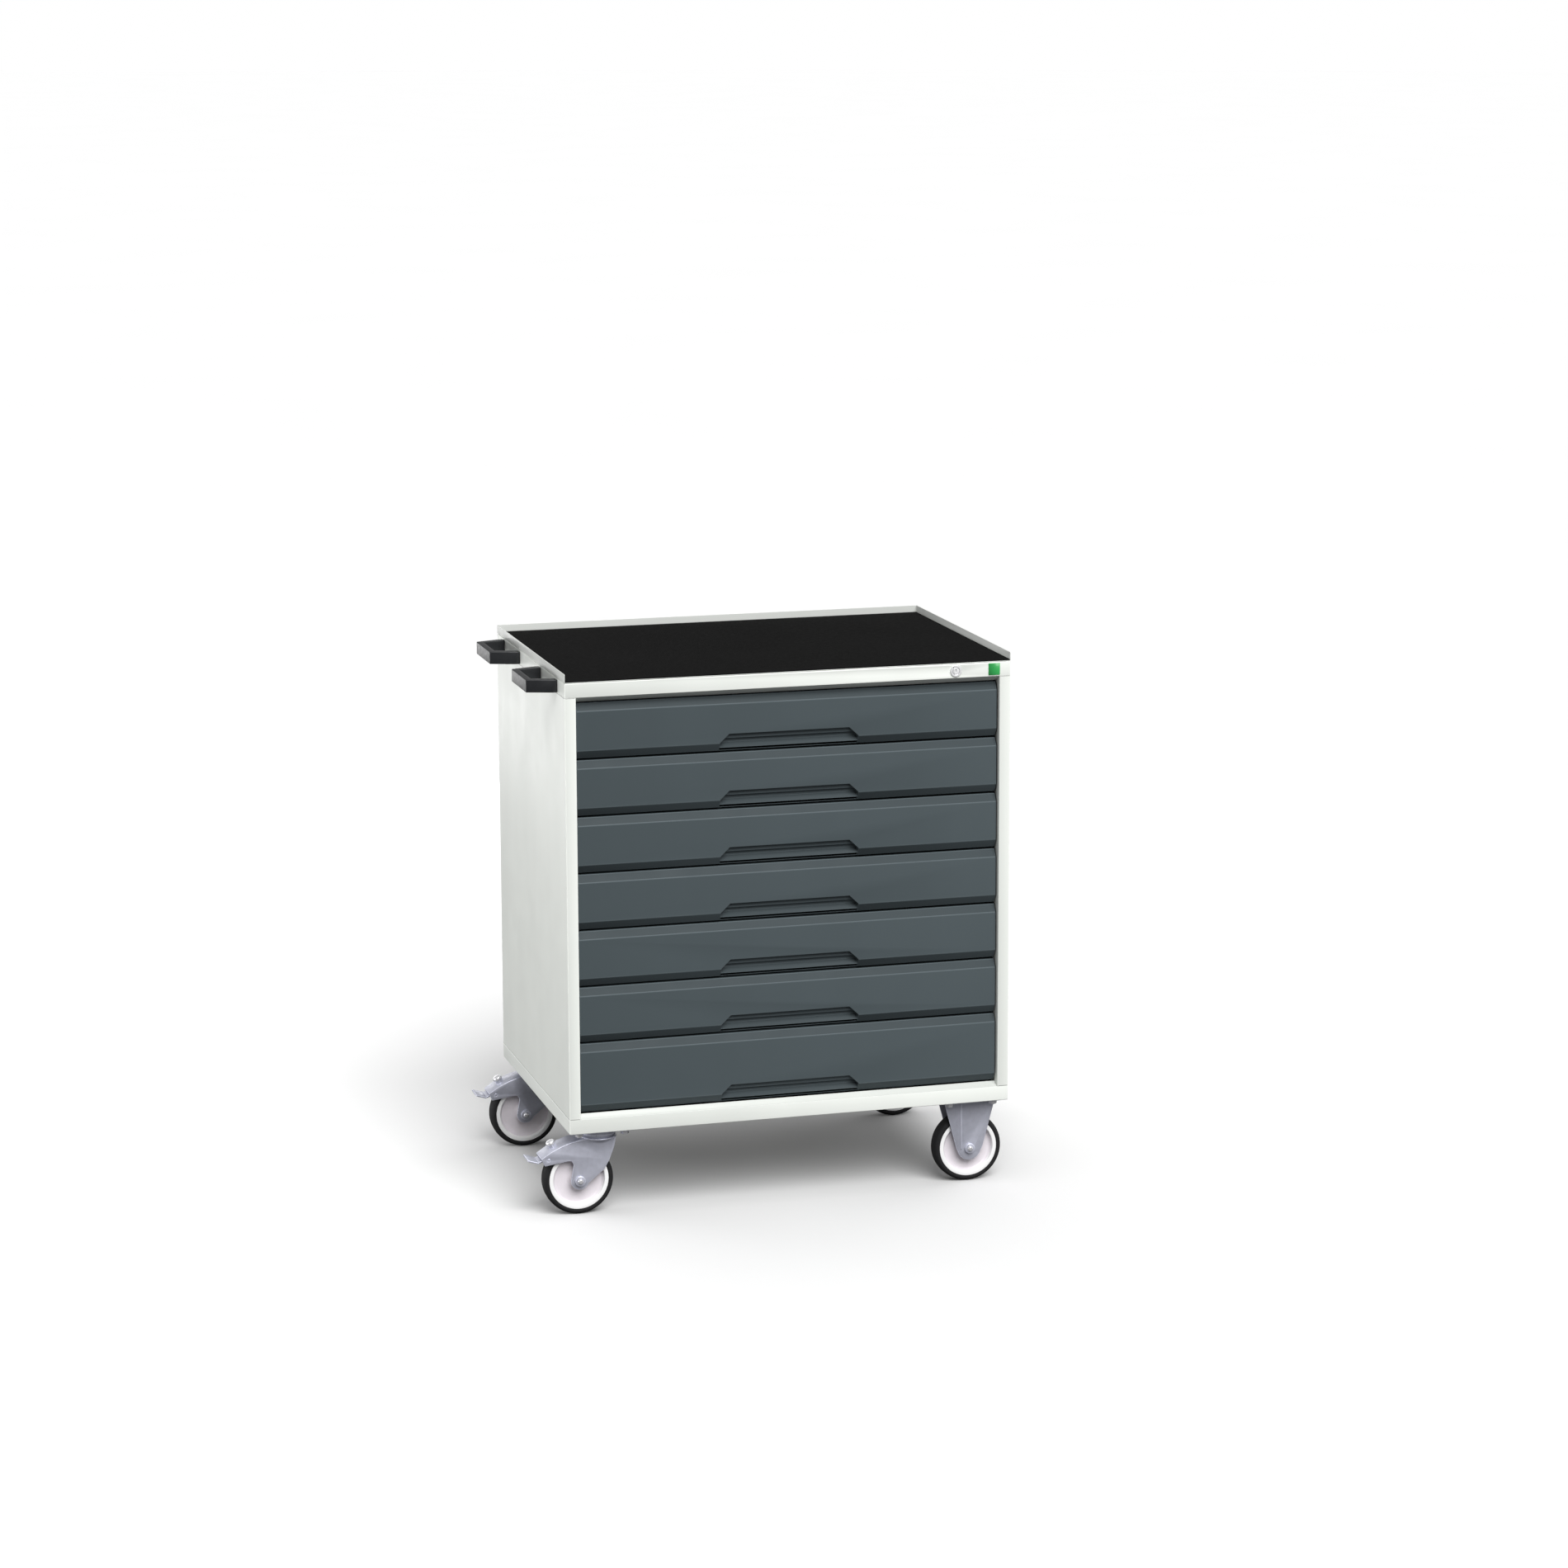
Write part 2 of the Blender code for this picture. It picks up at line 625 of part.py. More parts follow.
def grip_scoop(number, drawer):
    """The folded liner behind the finger hole: a wall, a pocket behind it and a lip that comes
    forwards at the bottom."""
    bottom = FRONT_GAP / 2
    head = bottom + BEVEL_HEIGHT + GRIP_HEIGHT + GRIP_HEAD
    face = FACE_RECESS + FRONT_SHEET / 2
    wall = FACE_RECESS + SCOOP_DEPTH
    pocket = wall + SCOOP_POCKET
    profile = [
        (face, head),
        (wall, head),
        (wall, head - GRIP_HEAD - SCOOP_WALL),
        (pocket, head - GRIP_HEAD - SCOOP_WALL - SCOOP_SLOPE),
        (pocket, bottom + BEVEL_HEIGHT - SCOOP_SHEET),
        (EDGE_RECESS - SCOOP_SLOPE, bottom + SCOOP_LIP_RISE),
    ]
    half = GRIP_WIDTH / 2
    scoop = sheet(f"grip_scoop_{number}", profile, "X", -half, half, SCOOP_SHEET, drawer)
    cheek = [
        (face, head),
        (face, bottom + BEVEL_HEIGHT),
        (EDGE_RECESS + FRONT_SHEET / 2, bottom + FRONT_SHEET / 2),
        (pocket, bottom + FRONT_SHEET / 2),
        (pocket, head),
    ]
    pieces = [scoop]
    for side in (-1, 1):
        start = side * half - SCOOP_SHEET / 2
        pieces.append(
            plate(f"grip_cheek_{number}_{side}", cheek, "X", start, start + SCOOP_SHEET, drawer)
        )
    return pieces


def drawer_front(number, pitch, drawer):
    """A hollow folded front: a crest that slopes back at the top, a bevel under the face, and a
    finger hole with its liner in the middle of the bottom edge."""
    low = FRONT_GAP / 2
    high = pitch - FRONT_GAP / 2
    outline = [
        (FRONT_BACK, low),
        (EDGE_RECESS, low),
        (FACE_RECESS, low + BEVEL_HEIGHT),
        (FACE_RECESS, high - CREST_HEIGHT),
        (EDGE_RECESS, high),
        (FRONT_BACK, high),
    ]
    half = FRONT_HALF_WIDTH
    front = prism_shell(f"drawer_front_{number}", outline, -half, half, FRONT_SHEET, (0, 1, 0), drawer)
    cut(front, grip_opening(number, drawer))
    join(front, *grip_scoop(number, drawer))
    finish(front, "drawer_paint")


def drawer_tray(number, pitch, drawer):
    """The drawer's open box, with a slide member welded to each side and a catch for the lock."""
    front = FRONT_BACK + TOUCH
    back = CABINET_DEPTH - DRAWER_REAR_GAP
    top = pitch - DRAWER_HEADROOM
    low = (-TRAY_HALF_WIDTH, front, DRAWER_LIFT)
    high = (TRAY_HALF_WIDTH, back, top)
    tray = open_box(f"drawer_tray_{number}", low, high, DRAWER_SHEET, [(0, 0, 1)], drawer)
    middle = DRAWER_LIFT + SLIDE_AXIS_LIFT
    for side in (-1, 1):
        web = TRAY_HALF_WIDTH - WELD
        profile = mirrored(c_section(-web, -INNER_TIP, INNER_HALF_HEIGHT, middle), side)
        member = sheet(
            f"slide_member_{number}_{side}",
            profile,
            "Y",
            SLIDE_START - FRONT_Y,
            SLIDE_END - FRONT_Y,
            SLIDE_SHEET,
            drawer,
        )
        join(tray, member)
    catch_x = TRAY_HALF_WIDTH - WELD
    low = (catch_x, CATCH_SETBACK, middle + CATCH_LIFT - CATCH_SIZE[2] / 2)
    high = (catch_x + CATCH_SIZE[0], CATCH_SETBACK + CATCH_SIZE[1], low[2] + CATCH_SIZE[2])
    join(tray, box(f"catch_{number}", low, high, drawer))
    finish(tray, "drawer_paint")


def slide_middles(number, carriage):
    """The two middle members, which travel half as far as the drawer."""
    middle = DRAWER_LIFT + SLIDE_AXIS_LIFT
    for word, side in (("left", -1), ("right", 1)):
        profile = c_section(-MIDDLE_WEB, -MIDDLE_WEB + MIDDLE_DEPTH, MIDDLE_HALF_HEIGHT, middle)
        member = sheet(
            f"slide_middle_{number}_{word}",
            mirrored(profile, side),
            "Y",
            SLIDE_START - FRONT_Y,
            SLIDE_END - FRONT_Y,
            SLIDE_SHEET,
            carriage,
        )
        finish(member, "slide_steel")


def drawers(cabinet):
    for number, (bottom, pitch) in enumerate(drawer_levels(), start=1):
        drawer = empty(f"drawer_{number}", (0, FRONT_Y, bottom), cabinet)
        drawer_front(number, pitch, drawer)
        drawer_tray(number, pitch, drawer)
        carriage = empty(f"carriage_{number}", (0, FRONT_Y, bottom), cabinet)
        slide_middles(number, carriage)


# ---- Lock, badge and handles ------------------------------------------------------------------------
def lock(cabinet):
    """A cam lock in the rail: a fixed barrel, and a plug that turns in it with the cam on its end."""
    axis = empty("lock_axis", (LOCK_X, FRONT_Y, RAIL_MIDDLE), cabinet)
    bore = LOCK_PLUG_RADIUS + LOCK_FIT
    face = LOCK_FLANGE + TOUCH
    profile = [
        (bore, face),
        (LOCK_FLANGE_RADIUS, face),
        (LOCK_FLANGE_RADIUS, TOUCH),
        (LOCK_BODY_RADIUS, TOUCH),
        (LOCK_BODY_RADIUS, -LOCK_BODY_LENGTH),
        (bore, -LOCK_BODY_LENGTH),
    ]
    barrel = turned("lock_barrel", profile, steps=FINE_STEPS, parent=axis, along="Y")
    finish(barrel, "lock_chrome")
    cam_start = LOCK_BODY_LENGTH + TOUCH
    length = face + cam_start
    plug = rod(
        "lock_plug",
        LOCK_PLUG_RADIUS,
        length,
        parent=axis,
        location=(0, (cam_start - face) / 2, 0),
        along="Y",
    )
    slot = [size / 2 for size in KEY_SLOT]
    low = (-slot[0], -face - slot[2], -slot[1])
    high = (slot[0], -face + slot[2], slot[1])
    cut(plug, box("key_slot", low, high, axis))
    half = CAM_WIDTH / 2
    low = (-half, cam_start - WELD, -half)
    high = (CAM_LENGTH, cam_start + CAM_SHEET, half)
    join(plug, box("cam", low, high, axis))
    finish(plug, "lock_chrome")


def lock_bar(cabinet):
    """A bar inside the right post that drops when the lock turns. It has an arm to the cam, and a
    hook over each drawer's catch."""
    front = FRONT_Y + LOCK_BAR_SETBACK
    inner = POST_X + LOCK_BAR_SIDE_GAP
    top = RAIL_MIDDLE + LOCK_BAR_WIDTH / 2
    lowest = drawer_levels()[-1][0] + DRAWER_LIFT + SLIDE_AXIS_LIFT
    low = (inner, front, lowest)
    high = (inner + LOCK_BAR_SHEET, front + LOCK_BAR_WIDTH, top)
    bar = box("lock_bar", low, high, cabinet)
    low = (LOCK_X - LOCK_BAR_WIDTH, front, top - LOCK_BAR_WIDTH)
    high = (inner + LOCK_BAR_SHEET / 2, front + LOCK_BAR_SHEET, top)
    join(bar, box("lock_arm", low, high, cabinet))
    reach, thick, tall = HOOK_SIZE
    for number, (bottom, _) in enumerate(drawer_levels(), start=1):
        catch = bottom + DRAWER_LIFT + SLIDE_AXIS_LIFT + CATCH_LIFT
        start = FRONT_Y + CATCH_SETBACK - HOOK_TO_CATCH
        low = (inner + LOCK_BAR_SHEET / 2 - reach, start, catch + LOCK_STROKE - tall / 2)
        high = (inner + LOCK_BAR_SHEET / 2, start + thick, catch + LOCK_STROKE + tall / 2)
        join(bar, box(f"hook_{number}", low, high, cabinet))
    finish(bar, "zinc_steel")


def badge_plate(cabinet):
    half = BADGE_SIDE / 2
    middle = SIDE_X - BADGE_FROM_EDGE
    low = (middle - half, FRONT_Y - TOUCH - BADGE_THICKNESS, RAIL_MIDDLE - half)
    high = (middle + half, FRONT_Y - TOUCH, RAIL_MIDDLE + half)
    finish(box("badge_plate", low, high, cabinet), "badge_green")


def push_handle(name, middle_y, cabinet):
    """A bow handle on the left of the rail: two splayed arms and a straight bar."""
    root, bar = HANDLE_ROOT / 2, HANDLE_BAR / 2
    inner_bar = bar - HANDLE_ARM_THICK
    inner_root = root - HANDLE_ROOT_THICK
    inside = HANDLE_REACH - HANDLE_THICK
    outline = [
        (0, -root),
        (-HANDLE_PAD, -root),
        (-HANDLE_REACH, -bar),
        (-HANDLE_REACH, bar),
        (-HANDLE_PAD, root),
        (0, root),
        (0, inner_root),
        (-inside, inner_bar),
        (-inside, -inner_bar),
        (0, -inner_root),
    ]
    top = RAIL_TOP - HANDLE_DROP
    mount = empty(f"{name}_mount", (-SIDE_X - TOUCH, middle_y, 0), cabinet)
    handle = plate(name, outline, "Z", top - HANDLE_HEIGHT, top, mount)
    finish(handle, "handle_plastic")


# ---- Castors ------------------------------------------------------------------------------------------
def arc(centre, radius, start, end, steps):
    """Points along a circle, between two angles in degrees."""
    angles = [radians(start + (end - start) * i / steps) for i in range(steps + 1)]
    return [(centre[0] + radius * cos(a), centre[1] + radius * sin(a)) for a in angles]


def wheel(name, axle):
    """A rim with a deep disc and a hub, and the tyre round it."""
    rim_radius = WHEEL_RADIUS - TYRE_DEPTH
    half_tyre = TYRE_WIDTH / 2
    seat = rim_radius + TOUCH
    tread = WHEEL_RADIUS
    shoulder = half_tyre - TYRE_SHOULDER
    profile = [
        (seat, half_tyre),
        (tread - TYRE_SHOULDER, half_tyre),
        (tread, shoulder),
        (tread, -shoulder),
        (tread - TYRE_SHOULDER, -half_tyre),
        (seat, -half_tyre),
    ]
    finish(turned(f"tyre_{name}", profile, parent=axle, along="Y"), "tyre_rubber")
    bore = AXLE_RADIUS + TOUCH
    ring = rim_radius - RING_DEPTH
    half_hub, half_disc, half_ring = HUB_WIDTH / 2, DISC_WIDTH / 2, RING_WIDTH / 2
    upper = [
        (bore, half_hub),
        (HUB_RADIUS, half_hub),
        (HUB_RADIUS, half_disc),
        (ring, half_disc),
        (ring, half_ring),
        (rim_radius, half_ring),
    ]
    profile = upper + [(radius, -height) for radius, height in reversed(upper)]
    finish(turned(f"wheel_{name}", profile, parent=axle, along="Y"), "wheel_plastic")


def axle_bolt(name, parent):
    """The axle, with a nut against the outside of each cheek."""
    bolt = rod(f"axle_{name}", AXLE_RADIUS, FORK_WIDTH + NUT_THICKNESS, parent=parent, along="Y")
    nuts = []
    for side in (-1, 1):
        place = (0, side * (FORK_WIDTH + NUT_THICKNESS - WELD) / 2, 0)
        nuts.append(
            rod(f"nut_{name}_{side}", NUT_RADIUS, NUT_THICKNESS, parent=parent, location=place, along="Y")
        )
    return [bolt, *nuts]


def fixed_castor(name, y, cabinet):
    """A bracket with two tapered cheeks under one plate, and a wheel that only rolls."""
    axle = empty(f"axle_{name}", (CASTOR_X, y, WHEEL_RADIUS), cabinet)
    plate_low = PLATE_UNDERSIDE - WHEEL_RADIUS
    plate_high = PLATE_TOP - WHEEL_RADIUS
    low = (-PLATE_LENGTH / 2, -PLATE_WIDTH / 2, plate_low)
    high = (PLATE_LENGTH / 2, PLATE_WIDTH / 2, plate_high)
    bracket = box(f"bracket_{name}", low, high, axle)
    top = plate_low + WELD
    outline = [(BRACKET_TOP / 2, top), (-BRACKET_TOP / 2, top), (-BRACKET_WAIST / 2, 0)]
    outline += arc((0, 0), BRACKET_END_RADIUS, 190, 350, 8)
    outline += [(BRACKET_WAIST / 2, 0)]
    for side in (-1, 1):
        start = side * CHEEK_Y - CHEEK_SHEET / 2
        join(bracket, plate(f"cheek_{name}_{side}", outline, "Y", start, start + CHEEK_SHEET, axle))
    join(bracket, *axle_bolt(name, axle))
    finish(bracket, "zinc_steel")
    wheel(name, axle)


def fork_outline():
    """The cheek of a swivel fork seen from the side, about the axle: an arm that reaches over the
    tyre to the brake, a flat crown, and a leg that ends round the axle."""
    top = [over_tyre(*place) for place in ARM_EDGE]
    top += [(CROWN_START, CROWN_HEIGHT), (HEEL_REACH, CROWN_HEIGHT)]
    end = arc((0, 0), CHEEK_END_RADIUS, -20, -180, 8)
    return [*top, *HEEL_EDGE, *end, *SLOT_EDGE, over_tyre(*ARM_TIP)], top


def swivel_fork(name, pivot):
    """A folded fork: two cheeks, the web over the tyre between them, the crown under the race, the
    axle, and the brake's adjusting nut."""
    outline, top = fork_outline()
    half = FORK_WIDTH / 2
    axle = empty(f"axle_{name}", (-TRAIL, 0, WHEEL_RADIUS), pivot)
    fork = plate(f"fork_{name}", outline, "Y", -half, half, axle)
    under = [(u, v - CHEEK_SHEET) for u, v in top]
    past = 2 * HEEL_REACH
    slope_out = (under[0][1] - under[1][1]) / (under[1][0] - under[0][0])
    hollow = [
        (-past, under[0][1] + slope_out * (past - ARM_REACH)),
        *under,
        (past, under[-1][1]),
        (past, -past),
        (-past, -past),
    ]
    inner = plate(f"fork_hollow_{name}", hollow, "Y", -CHEEK_GAP / 2, CHEEK_GAP / 2, axle)
    cut(fork, inner)
    crown_middle = CROWN_HEIGHT - CHEEK_SHEET / 2
    crown = rod(
        f"crown_{name}", RACE_RADIUS, CHEEK_SHEET, parent=axle, location=(TRAIL, 0, crown_middle)
    )
    join(fork, crown)
    hole = rod(
        f"kingpin_hole_{name}",
        KINGPIN_RADIUS + TOUCH,
        4 * CHEEK_SHEET,
        parent=axle,
        location=(TRAIL, 0, crown_middle),
    )
    cut(fork, hole)
    pin_hole = rod(
        f"pedal_pin_hole_{name}",
        PEDAL_PIN_RADIUS + TOUCH,
        2 * FORK_WIDTH,
        parent=axle,
        location=(PEDAL_PIVOT[0], 0, PEDAL_PIVOT[1]),
        along="Y",
    )
    cut(fork, pin_hole)
    nut_along, nut_up = over_tyre(*BRAKE_NUT_PLACE)
    nut = rod(
        f"brake_nut_{name}",
        BRAKE_NUT_RADIUS,
        BRAKE_NUT_HEIGHT,
        steps=6,
        parent=axle,
        location=(nut_along, 0, nut_up),
    )
    nut.rotation_euler = (0, radians(-ARM_SLOPE), 0)
    join(fork, nut, *axle_bolt(name, axle))
    finish(fork, "zinc_steel")
    return axle


def brake_pedal(name, axle):
    """The foot pedal, on a pin through the end of the fork's arm."""
    pivot = empty(f"pedal_pivot_{name}", (PEDAL_PIVOT[0], 0, PEDAL_PIVOT[1]), axle)
    half = PEDAL_WIDTH / 2
    pedal = rod(f"brake_pedal_{name}", PEDAL_HUB_RADIUS, PEDAL_WIDTH, steps=16, parent=pivot, along="Y")
    pin_length = FORK_WIDTH + 2 * PEDAL_PIN_END
    pin = rod(f"pedal_pin_{name}", PEDAL_PIN_RADIUS, pin_length, steps=16, parent=pivot, along="Y")
    hub_edge = (-PEDAL_PIN_RADIUS, PEDAL_PIN_RADIUS / 2)
    arm = sheet(f"pedal_arm_{name}", [PEDAL_BEND, hub_edge], "Y", -half, half, PEDAL_SHEET, pivot)
    half = PEDAL_FOOT_WIDTH / 2
    tip = (-PEDAL_REACH - PEDAL_PIVOT[0], PEDAL_TIP_LIFT)
    heel = (PEDAL_BEND[0] + WELD, PEDAL_BEND[1])
    foot = sheet(f"pedal_foot_{name}", [tip, heel], "Y", -half, half, PEDAL_SHEET, pivot)
    join(pedal, pin, arm, foot)
    finish(pedal, "zinc_steel")


def swivel_castor(name, y, cabinet):
    """A plate with a ball race and kingpin, and a fork that turns under it with the wheel behind."""
    pivot = empty(f"swivel_{name}", (-CASTOR_X, y, 0), cabinet)
    low = (-PLATE_LENGTH / 2, -PLATE_WIDTH / 2, PLATE_UNDERSIDE)
    high = (PLATE_LENGTH / 2, PLATE_WIDTH / 2, PLATE_TOP)
    top_plate = box(f"swivel_plate_{name}", low, high, pivot)
    crown_top = WHEEL_RADIUS + CROWN_HEIGHT
    crown_under = crown_top - CHEEK_SHEET
    race = [
        (0, PLATE_UNDERSIDE + WELD),
        (RACE_RADIUS - RACE_TAPER, PLATE_UNDERSIDE + WELD),
        (RACE_RADIUS, crown_top + RACE_BAND),
        (RACE_RADIUS - RACE_TAPER, crown_top + TOUCH),
        (KINGPIN_RADIUS, crown_top + TOUCH),
        (KINGPIN_RADIUS, crown_under - TOUCH),
        (KINGPIN_HEAD_RADIUS, crown_under - TOUCH),
        (KINGPIN_HEAD_RADIUS, crown_under - TOUCH - KINGPIN_HEAD),
        (0, crown_under - TOUCH - KINGPIN_HEAD),
    ]
    join(top_plate, turned(f"race_{name}", race, ring=False, steps=FINE_STEPS, parent=pivot))
    finish(top_plate, "zinc_steel")
    axle = swivel_fork(name, pivot)
    wheel(name, axle)
    brake_pedal(name, axle)


def build():
    clear_scene()
    cabinet = empty("cabinet", (CABINET_SHIFT, 0, 0))
    side_panel("left_side_panel", -1, cabinet)
    side_panel("right_side_panel", 1, cabinet)
    rear_panel(cabinet)
    top_cover(cabinet)
    top_tray(cabinet)
    top_mat(cabinet)
    base_pan(cabinet)
    runner_frame("left_runner_frame", -1, cabinet)
    runner_frame("right_runner_frame", 1, cabinet)
    drawers(cabinet)
    lock(cabinet)
    lock_bar(cabinet)
    badge_plate(cabinet)
    push_handle("front_push_handle", FRONT_Y + HANDLE_INSET, cabinet)
    push_handle("rear_push_handle", REAR_Y - HANDLE_INSET, cabinet)
    swivel_castor("front_left", -CASTOR_Y, cabinet)
    swivel_castor("rear_left", CASTOR_Y, cabinet)
    fixed_castor("front_right", -CASTOR_Y, cabinet)
    fixed_castor("rear_right", CASTOR_Y, cabinet)


build()
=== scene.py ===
"""Finishes the mobile drawer cabinet round its fixed frame.

It adds rounded folds, a ribbed mat, turned wheels, fasteners, paints and metals, and a plain studio.
"""

import json
from math import cos, pi, radians, sin

import bmesh
import bpy
from mathutils import Matrix, Vector

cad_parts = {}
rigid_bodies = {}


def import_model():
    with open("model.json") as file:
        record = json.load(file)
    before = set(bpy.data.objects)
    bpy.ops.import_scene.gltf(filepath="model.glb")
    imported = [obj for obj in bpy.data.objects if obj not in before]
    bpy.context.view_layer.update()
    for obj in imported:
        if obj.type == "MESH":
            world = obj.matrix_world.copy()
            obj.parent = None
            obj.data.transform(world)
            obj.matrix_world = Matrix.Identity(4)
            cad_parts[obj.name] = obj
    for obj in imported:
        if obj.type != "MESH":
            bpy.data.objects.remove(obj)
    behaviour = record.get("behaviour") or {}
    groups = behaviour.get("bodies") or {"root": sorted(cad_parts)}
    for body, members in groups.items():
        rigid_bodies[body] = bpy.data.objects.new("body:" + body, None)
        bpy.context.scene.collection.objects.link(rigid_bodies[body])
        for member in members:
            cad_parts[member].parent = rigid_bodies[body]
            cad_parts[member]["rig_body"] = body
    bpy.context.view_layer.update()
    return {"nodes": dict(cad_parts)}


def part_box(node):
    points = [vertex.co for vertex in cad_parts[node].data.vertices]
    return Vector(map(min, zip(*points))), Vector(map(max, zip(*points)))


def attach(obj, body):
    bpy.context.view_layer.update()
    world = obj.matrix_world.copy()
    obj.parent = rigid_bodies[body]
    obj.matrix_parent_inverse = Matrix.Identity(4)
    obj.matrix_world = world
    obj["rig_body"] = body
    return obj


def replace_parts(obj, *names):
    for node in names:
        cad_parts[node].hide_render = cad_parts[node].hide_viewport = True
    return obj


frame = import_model()

bl_info = {
    "name": "Mobile drawer cabinet",
    "version": (1, 0, 0),
    "blender": (4, 5, 0),
    "location": "3D View > Sidebar > Cabinet",
    "description": "Finishes a mobile drawer cabinet round its frame",
    "category": "Object",
}

DRAWERS = range(1, 8)
SIDES = ("left", "right")
LEFT_CASTORS = ("front_left", "rear_left")
RIGHT_CASTORS = ("front_right", "rear_right")
CASTORS = (*LEFT_CASTORS, *RIGHT_CASTORS)
PANELS = ("left_side_panel", "right_side_panel")
HOUSING = (*PANELS, "rear_panel", "top_cover", "top_tray", "base_pan")
ENDS = (("outer", -1), ("inner", 1))  # of an axle, and which way each lies along Y
SHARP = radians(30)  # a steeper edge is rounded and shaded sharp
MERGE = 0.00002  # points closer than this are one
FLAT = radians(0.5)  # faces closer than this in angle are one

# The rounding: how much of a face's width it takes, and how much smaller it is in an inner corner.
ROUNDING_ROOM = 0.3
INNER_ROUNDING = 1 / 4

# How steep a face of the drawers is, as its normal's height, where the painted shade starts to darken the
# paint.
SLOPE_START = 0.12
SLOPE_FULL = 0.35
SLOPE_PAINTED_SHADE = 0.74

# Painted highlight: how much brighter a rounded edge is than the faces beside it.
HOUSING_HIGHLIGHT_SHARE = 1.1
DRAWER_HIGHLIGHT_SHARE = 1.25
ZINC_HIGHLIGHT_SHARE = 1.55

# The sizes of what shows in the finishes, and how high it stands.
# Upright colour drifts in the powder coat, partly painted reflection streaks.
COAT_DRIFT_STREAK = 0.12
COAT_CLOUD = 0.05
COAT_PEEL = (0.0016, 0.00006)
DUST_CLOUD = 0.15
DULL_CLOUD = 0.008
RUBBER_HEIGHT = 0.00008
MOULD_CLOUD = 0.02
MOULD_SHINE = 0.006
SPARK_GRAIN = 0.0006
SPARK_HEIGHT = 0.00003
ZINC_CLOUD = 0.009
ZINC_SHINE = 0.004
SHEET_WAVE = (0.02, 0.00012)
DRAWING_LINE = (0.0012, 0.00001)
POLISH_CLOUD = 0.002
POLISH_GRAIN = (0.0005, 0.000004)
FLOOR_CLOUD = 0.8

# The dark joints above and below a side panel: painted shade of the thin gap between the sheets.
JOINT_WIDTH = 0.0014
JOINT_SHADE = 0.30

# The wheels.
RING_DEPTH = 0.007
RING_ROUNDING = 0.0012
RING_HALF_WIDTH = 0.015
DISC_HALF_WIDTH = 0.006
HUB_RADIUS = 0.014
HUB_BORE = 0.0053
HUB_FLARE = (0.0015, 0.002)  # out from the hub, and up from the disc
HUB_FOOT = 0.006  # from the hub to the flat of the disc
DISH_EDGE = 0.004  # from the flat of the disc to the ring
DISH_RISE = (0.0008, 0.003)  # in from the ring, and up from the disc
TYRE_SEAT = 0.0003
TYRE_SIDE = 0.0045  # from the flat side wall to the tread
TYRE_SHOULDER = (0.0006, 0.0042)  # in from the tread, and in from the side
TYRE_ROUNDING = 0.003

# The fasteners.
PLATE_THICKNESS = 0.003
BOLT_INSET_ACROSS = 0.012
BOLT_INSET_ALONG = 0.011
HEXAGON = 1.732  # across the flats, over the corner radius

# A plate bolt's parts, as shares of the head's size and height.
BOLT_HEAD_MIDDLE = -0.72
BOLT_THREAD_RADIUS = 0.30
BOLT_THREAD_MIDDLE = -1.0
WASHER_RADIUS = 0.66
WASHER_HEIGHT = 0.28

REAR_RIVET_INSET = 0.0225
REAR_RIVET_MARGIN = 0.060
REAR_RIVET_RISE = 0.0009
SLIDE_RIVETS = 4
SLIDE_RIVET_MARGIN = 0.060
SLIDE_RIVET_RISE = 0.0008
SLIDE_WALL = 0.0119  # from the slide's outer face to the drawer's wall
AXLE_NUT_FACE = 0.0275
CHEEK_FACE = 0.0225
CAP_RADIUS = 0.0052
CAP_RISE = 0.0032
CAP_SHOULDER = (0.67, 0.93)  # shares of the radius and the rise

# The pressed bead down each cheek of a fixed bracket.
BEAD_OFFSET = 0.0155
BEAD_HALF_WIDTH = 0.0021
BEAD_RISE = 0.0012
BEAD_TOP_MARGIN = 0.004
BEAD_ROWS = 8
BEAD_STEPS = 16

# The brake's nut: where it stands from the axle, and the dome on it.
BRAKE_NUT_ANGLE = radians(125.75)
BRAKE_NUT_LIFT = 0.01451  # over the tyre
BRAKE_NUT_HALF = 0.006
BRAKE_CAP = (0.0086, 0.0040)
BRAKE_CAP_SHOULDERS = ((0.55, 0.9), (0.9, 0.45))  # shares of the radius and the rise
BRAKE_CAP_SKIRT = 0.0032
ARM_SLOPE = radians(30)

# The lock's key slot and mark, each with a black piece as painted shade.
KEY_SLOT_DEPTH = 0.0019
KEYWAY_SHADE_SIZE = (0.0011, 0.0009, 0.0066)
MARK_RADIUS = 0.0083
MARK_ANGLE = radians(124)
MARK_SIZE = 0.0008
MARK_FLAT = 0.7  # share of the size
MARK_RISE = 0.00002

# The studio.
LOOK_AT = (0.1768, -0.2268, 0.8748)
SHIFT = (-0.05, -0.05)
SENSOR = 36.0
FLOOR_RADIUS = 60.0
FLOOR_BOUNCE = 0.14
# The floor's painted shadow: how dark it gets, and how far it reaches.
FLOOR_SHADE = 0.60
FLOOR_SHADE_REACH = 1.0
KEY_PLACE = (0.5, -5.0, 5.6)
KEY_AIM = (0.0, 0.0, 0.5)
KEY_ANGLE = radians(44)
SIDE_CARD_PLACE = (2.4, 0.6, 0.60)
SIDE_CARD_AIM = (0, 0, 0.60)
SIDE_CARD_SIZE = (2.2, 0.6)
SIDE_CARDS = ((-1, 1.0), (1, 0.5))  # which side, and its share of the power
REAR_CARD_PLACE = (-0.5, 3.5, 0.45)
REAR_CARD_AIM = (0, 0, 0.5)
REAR_CARD_SIZE = (3.0, 0.8)
REAR_CARD_SHARE = 0.55


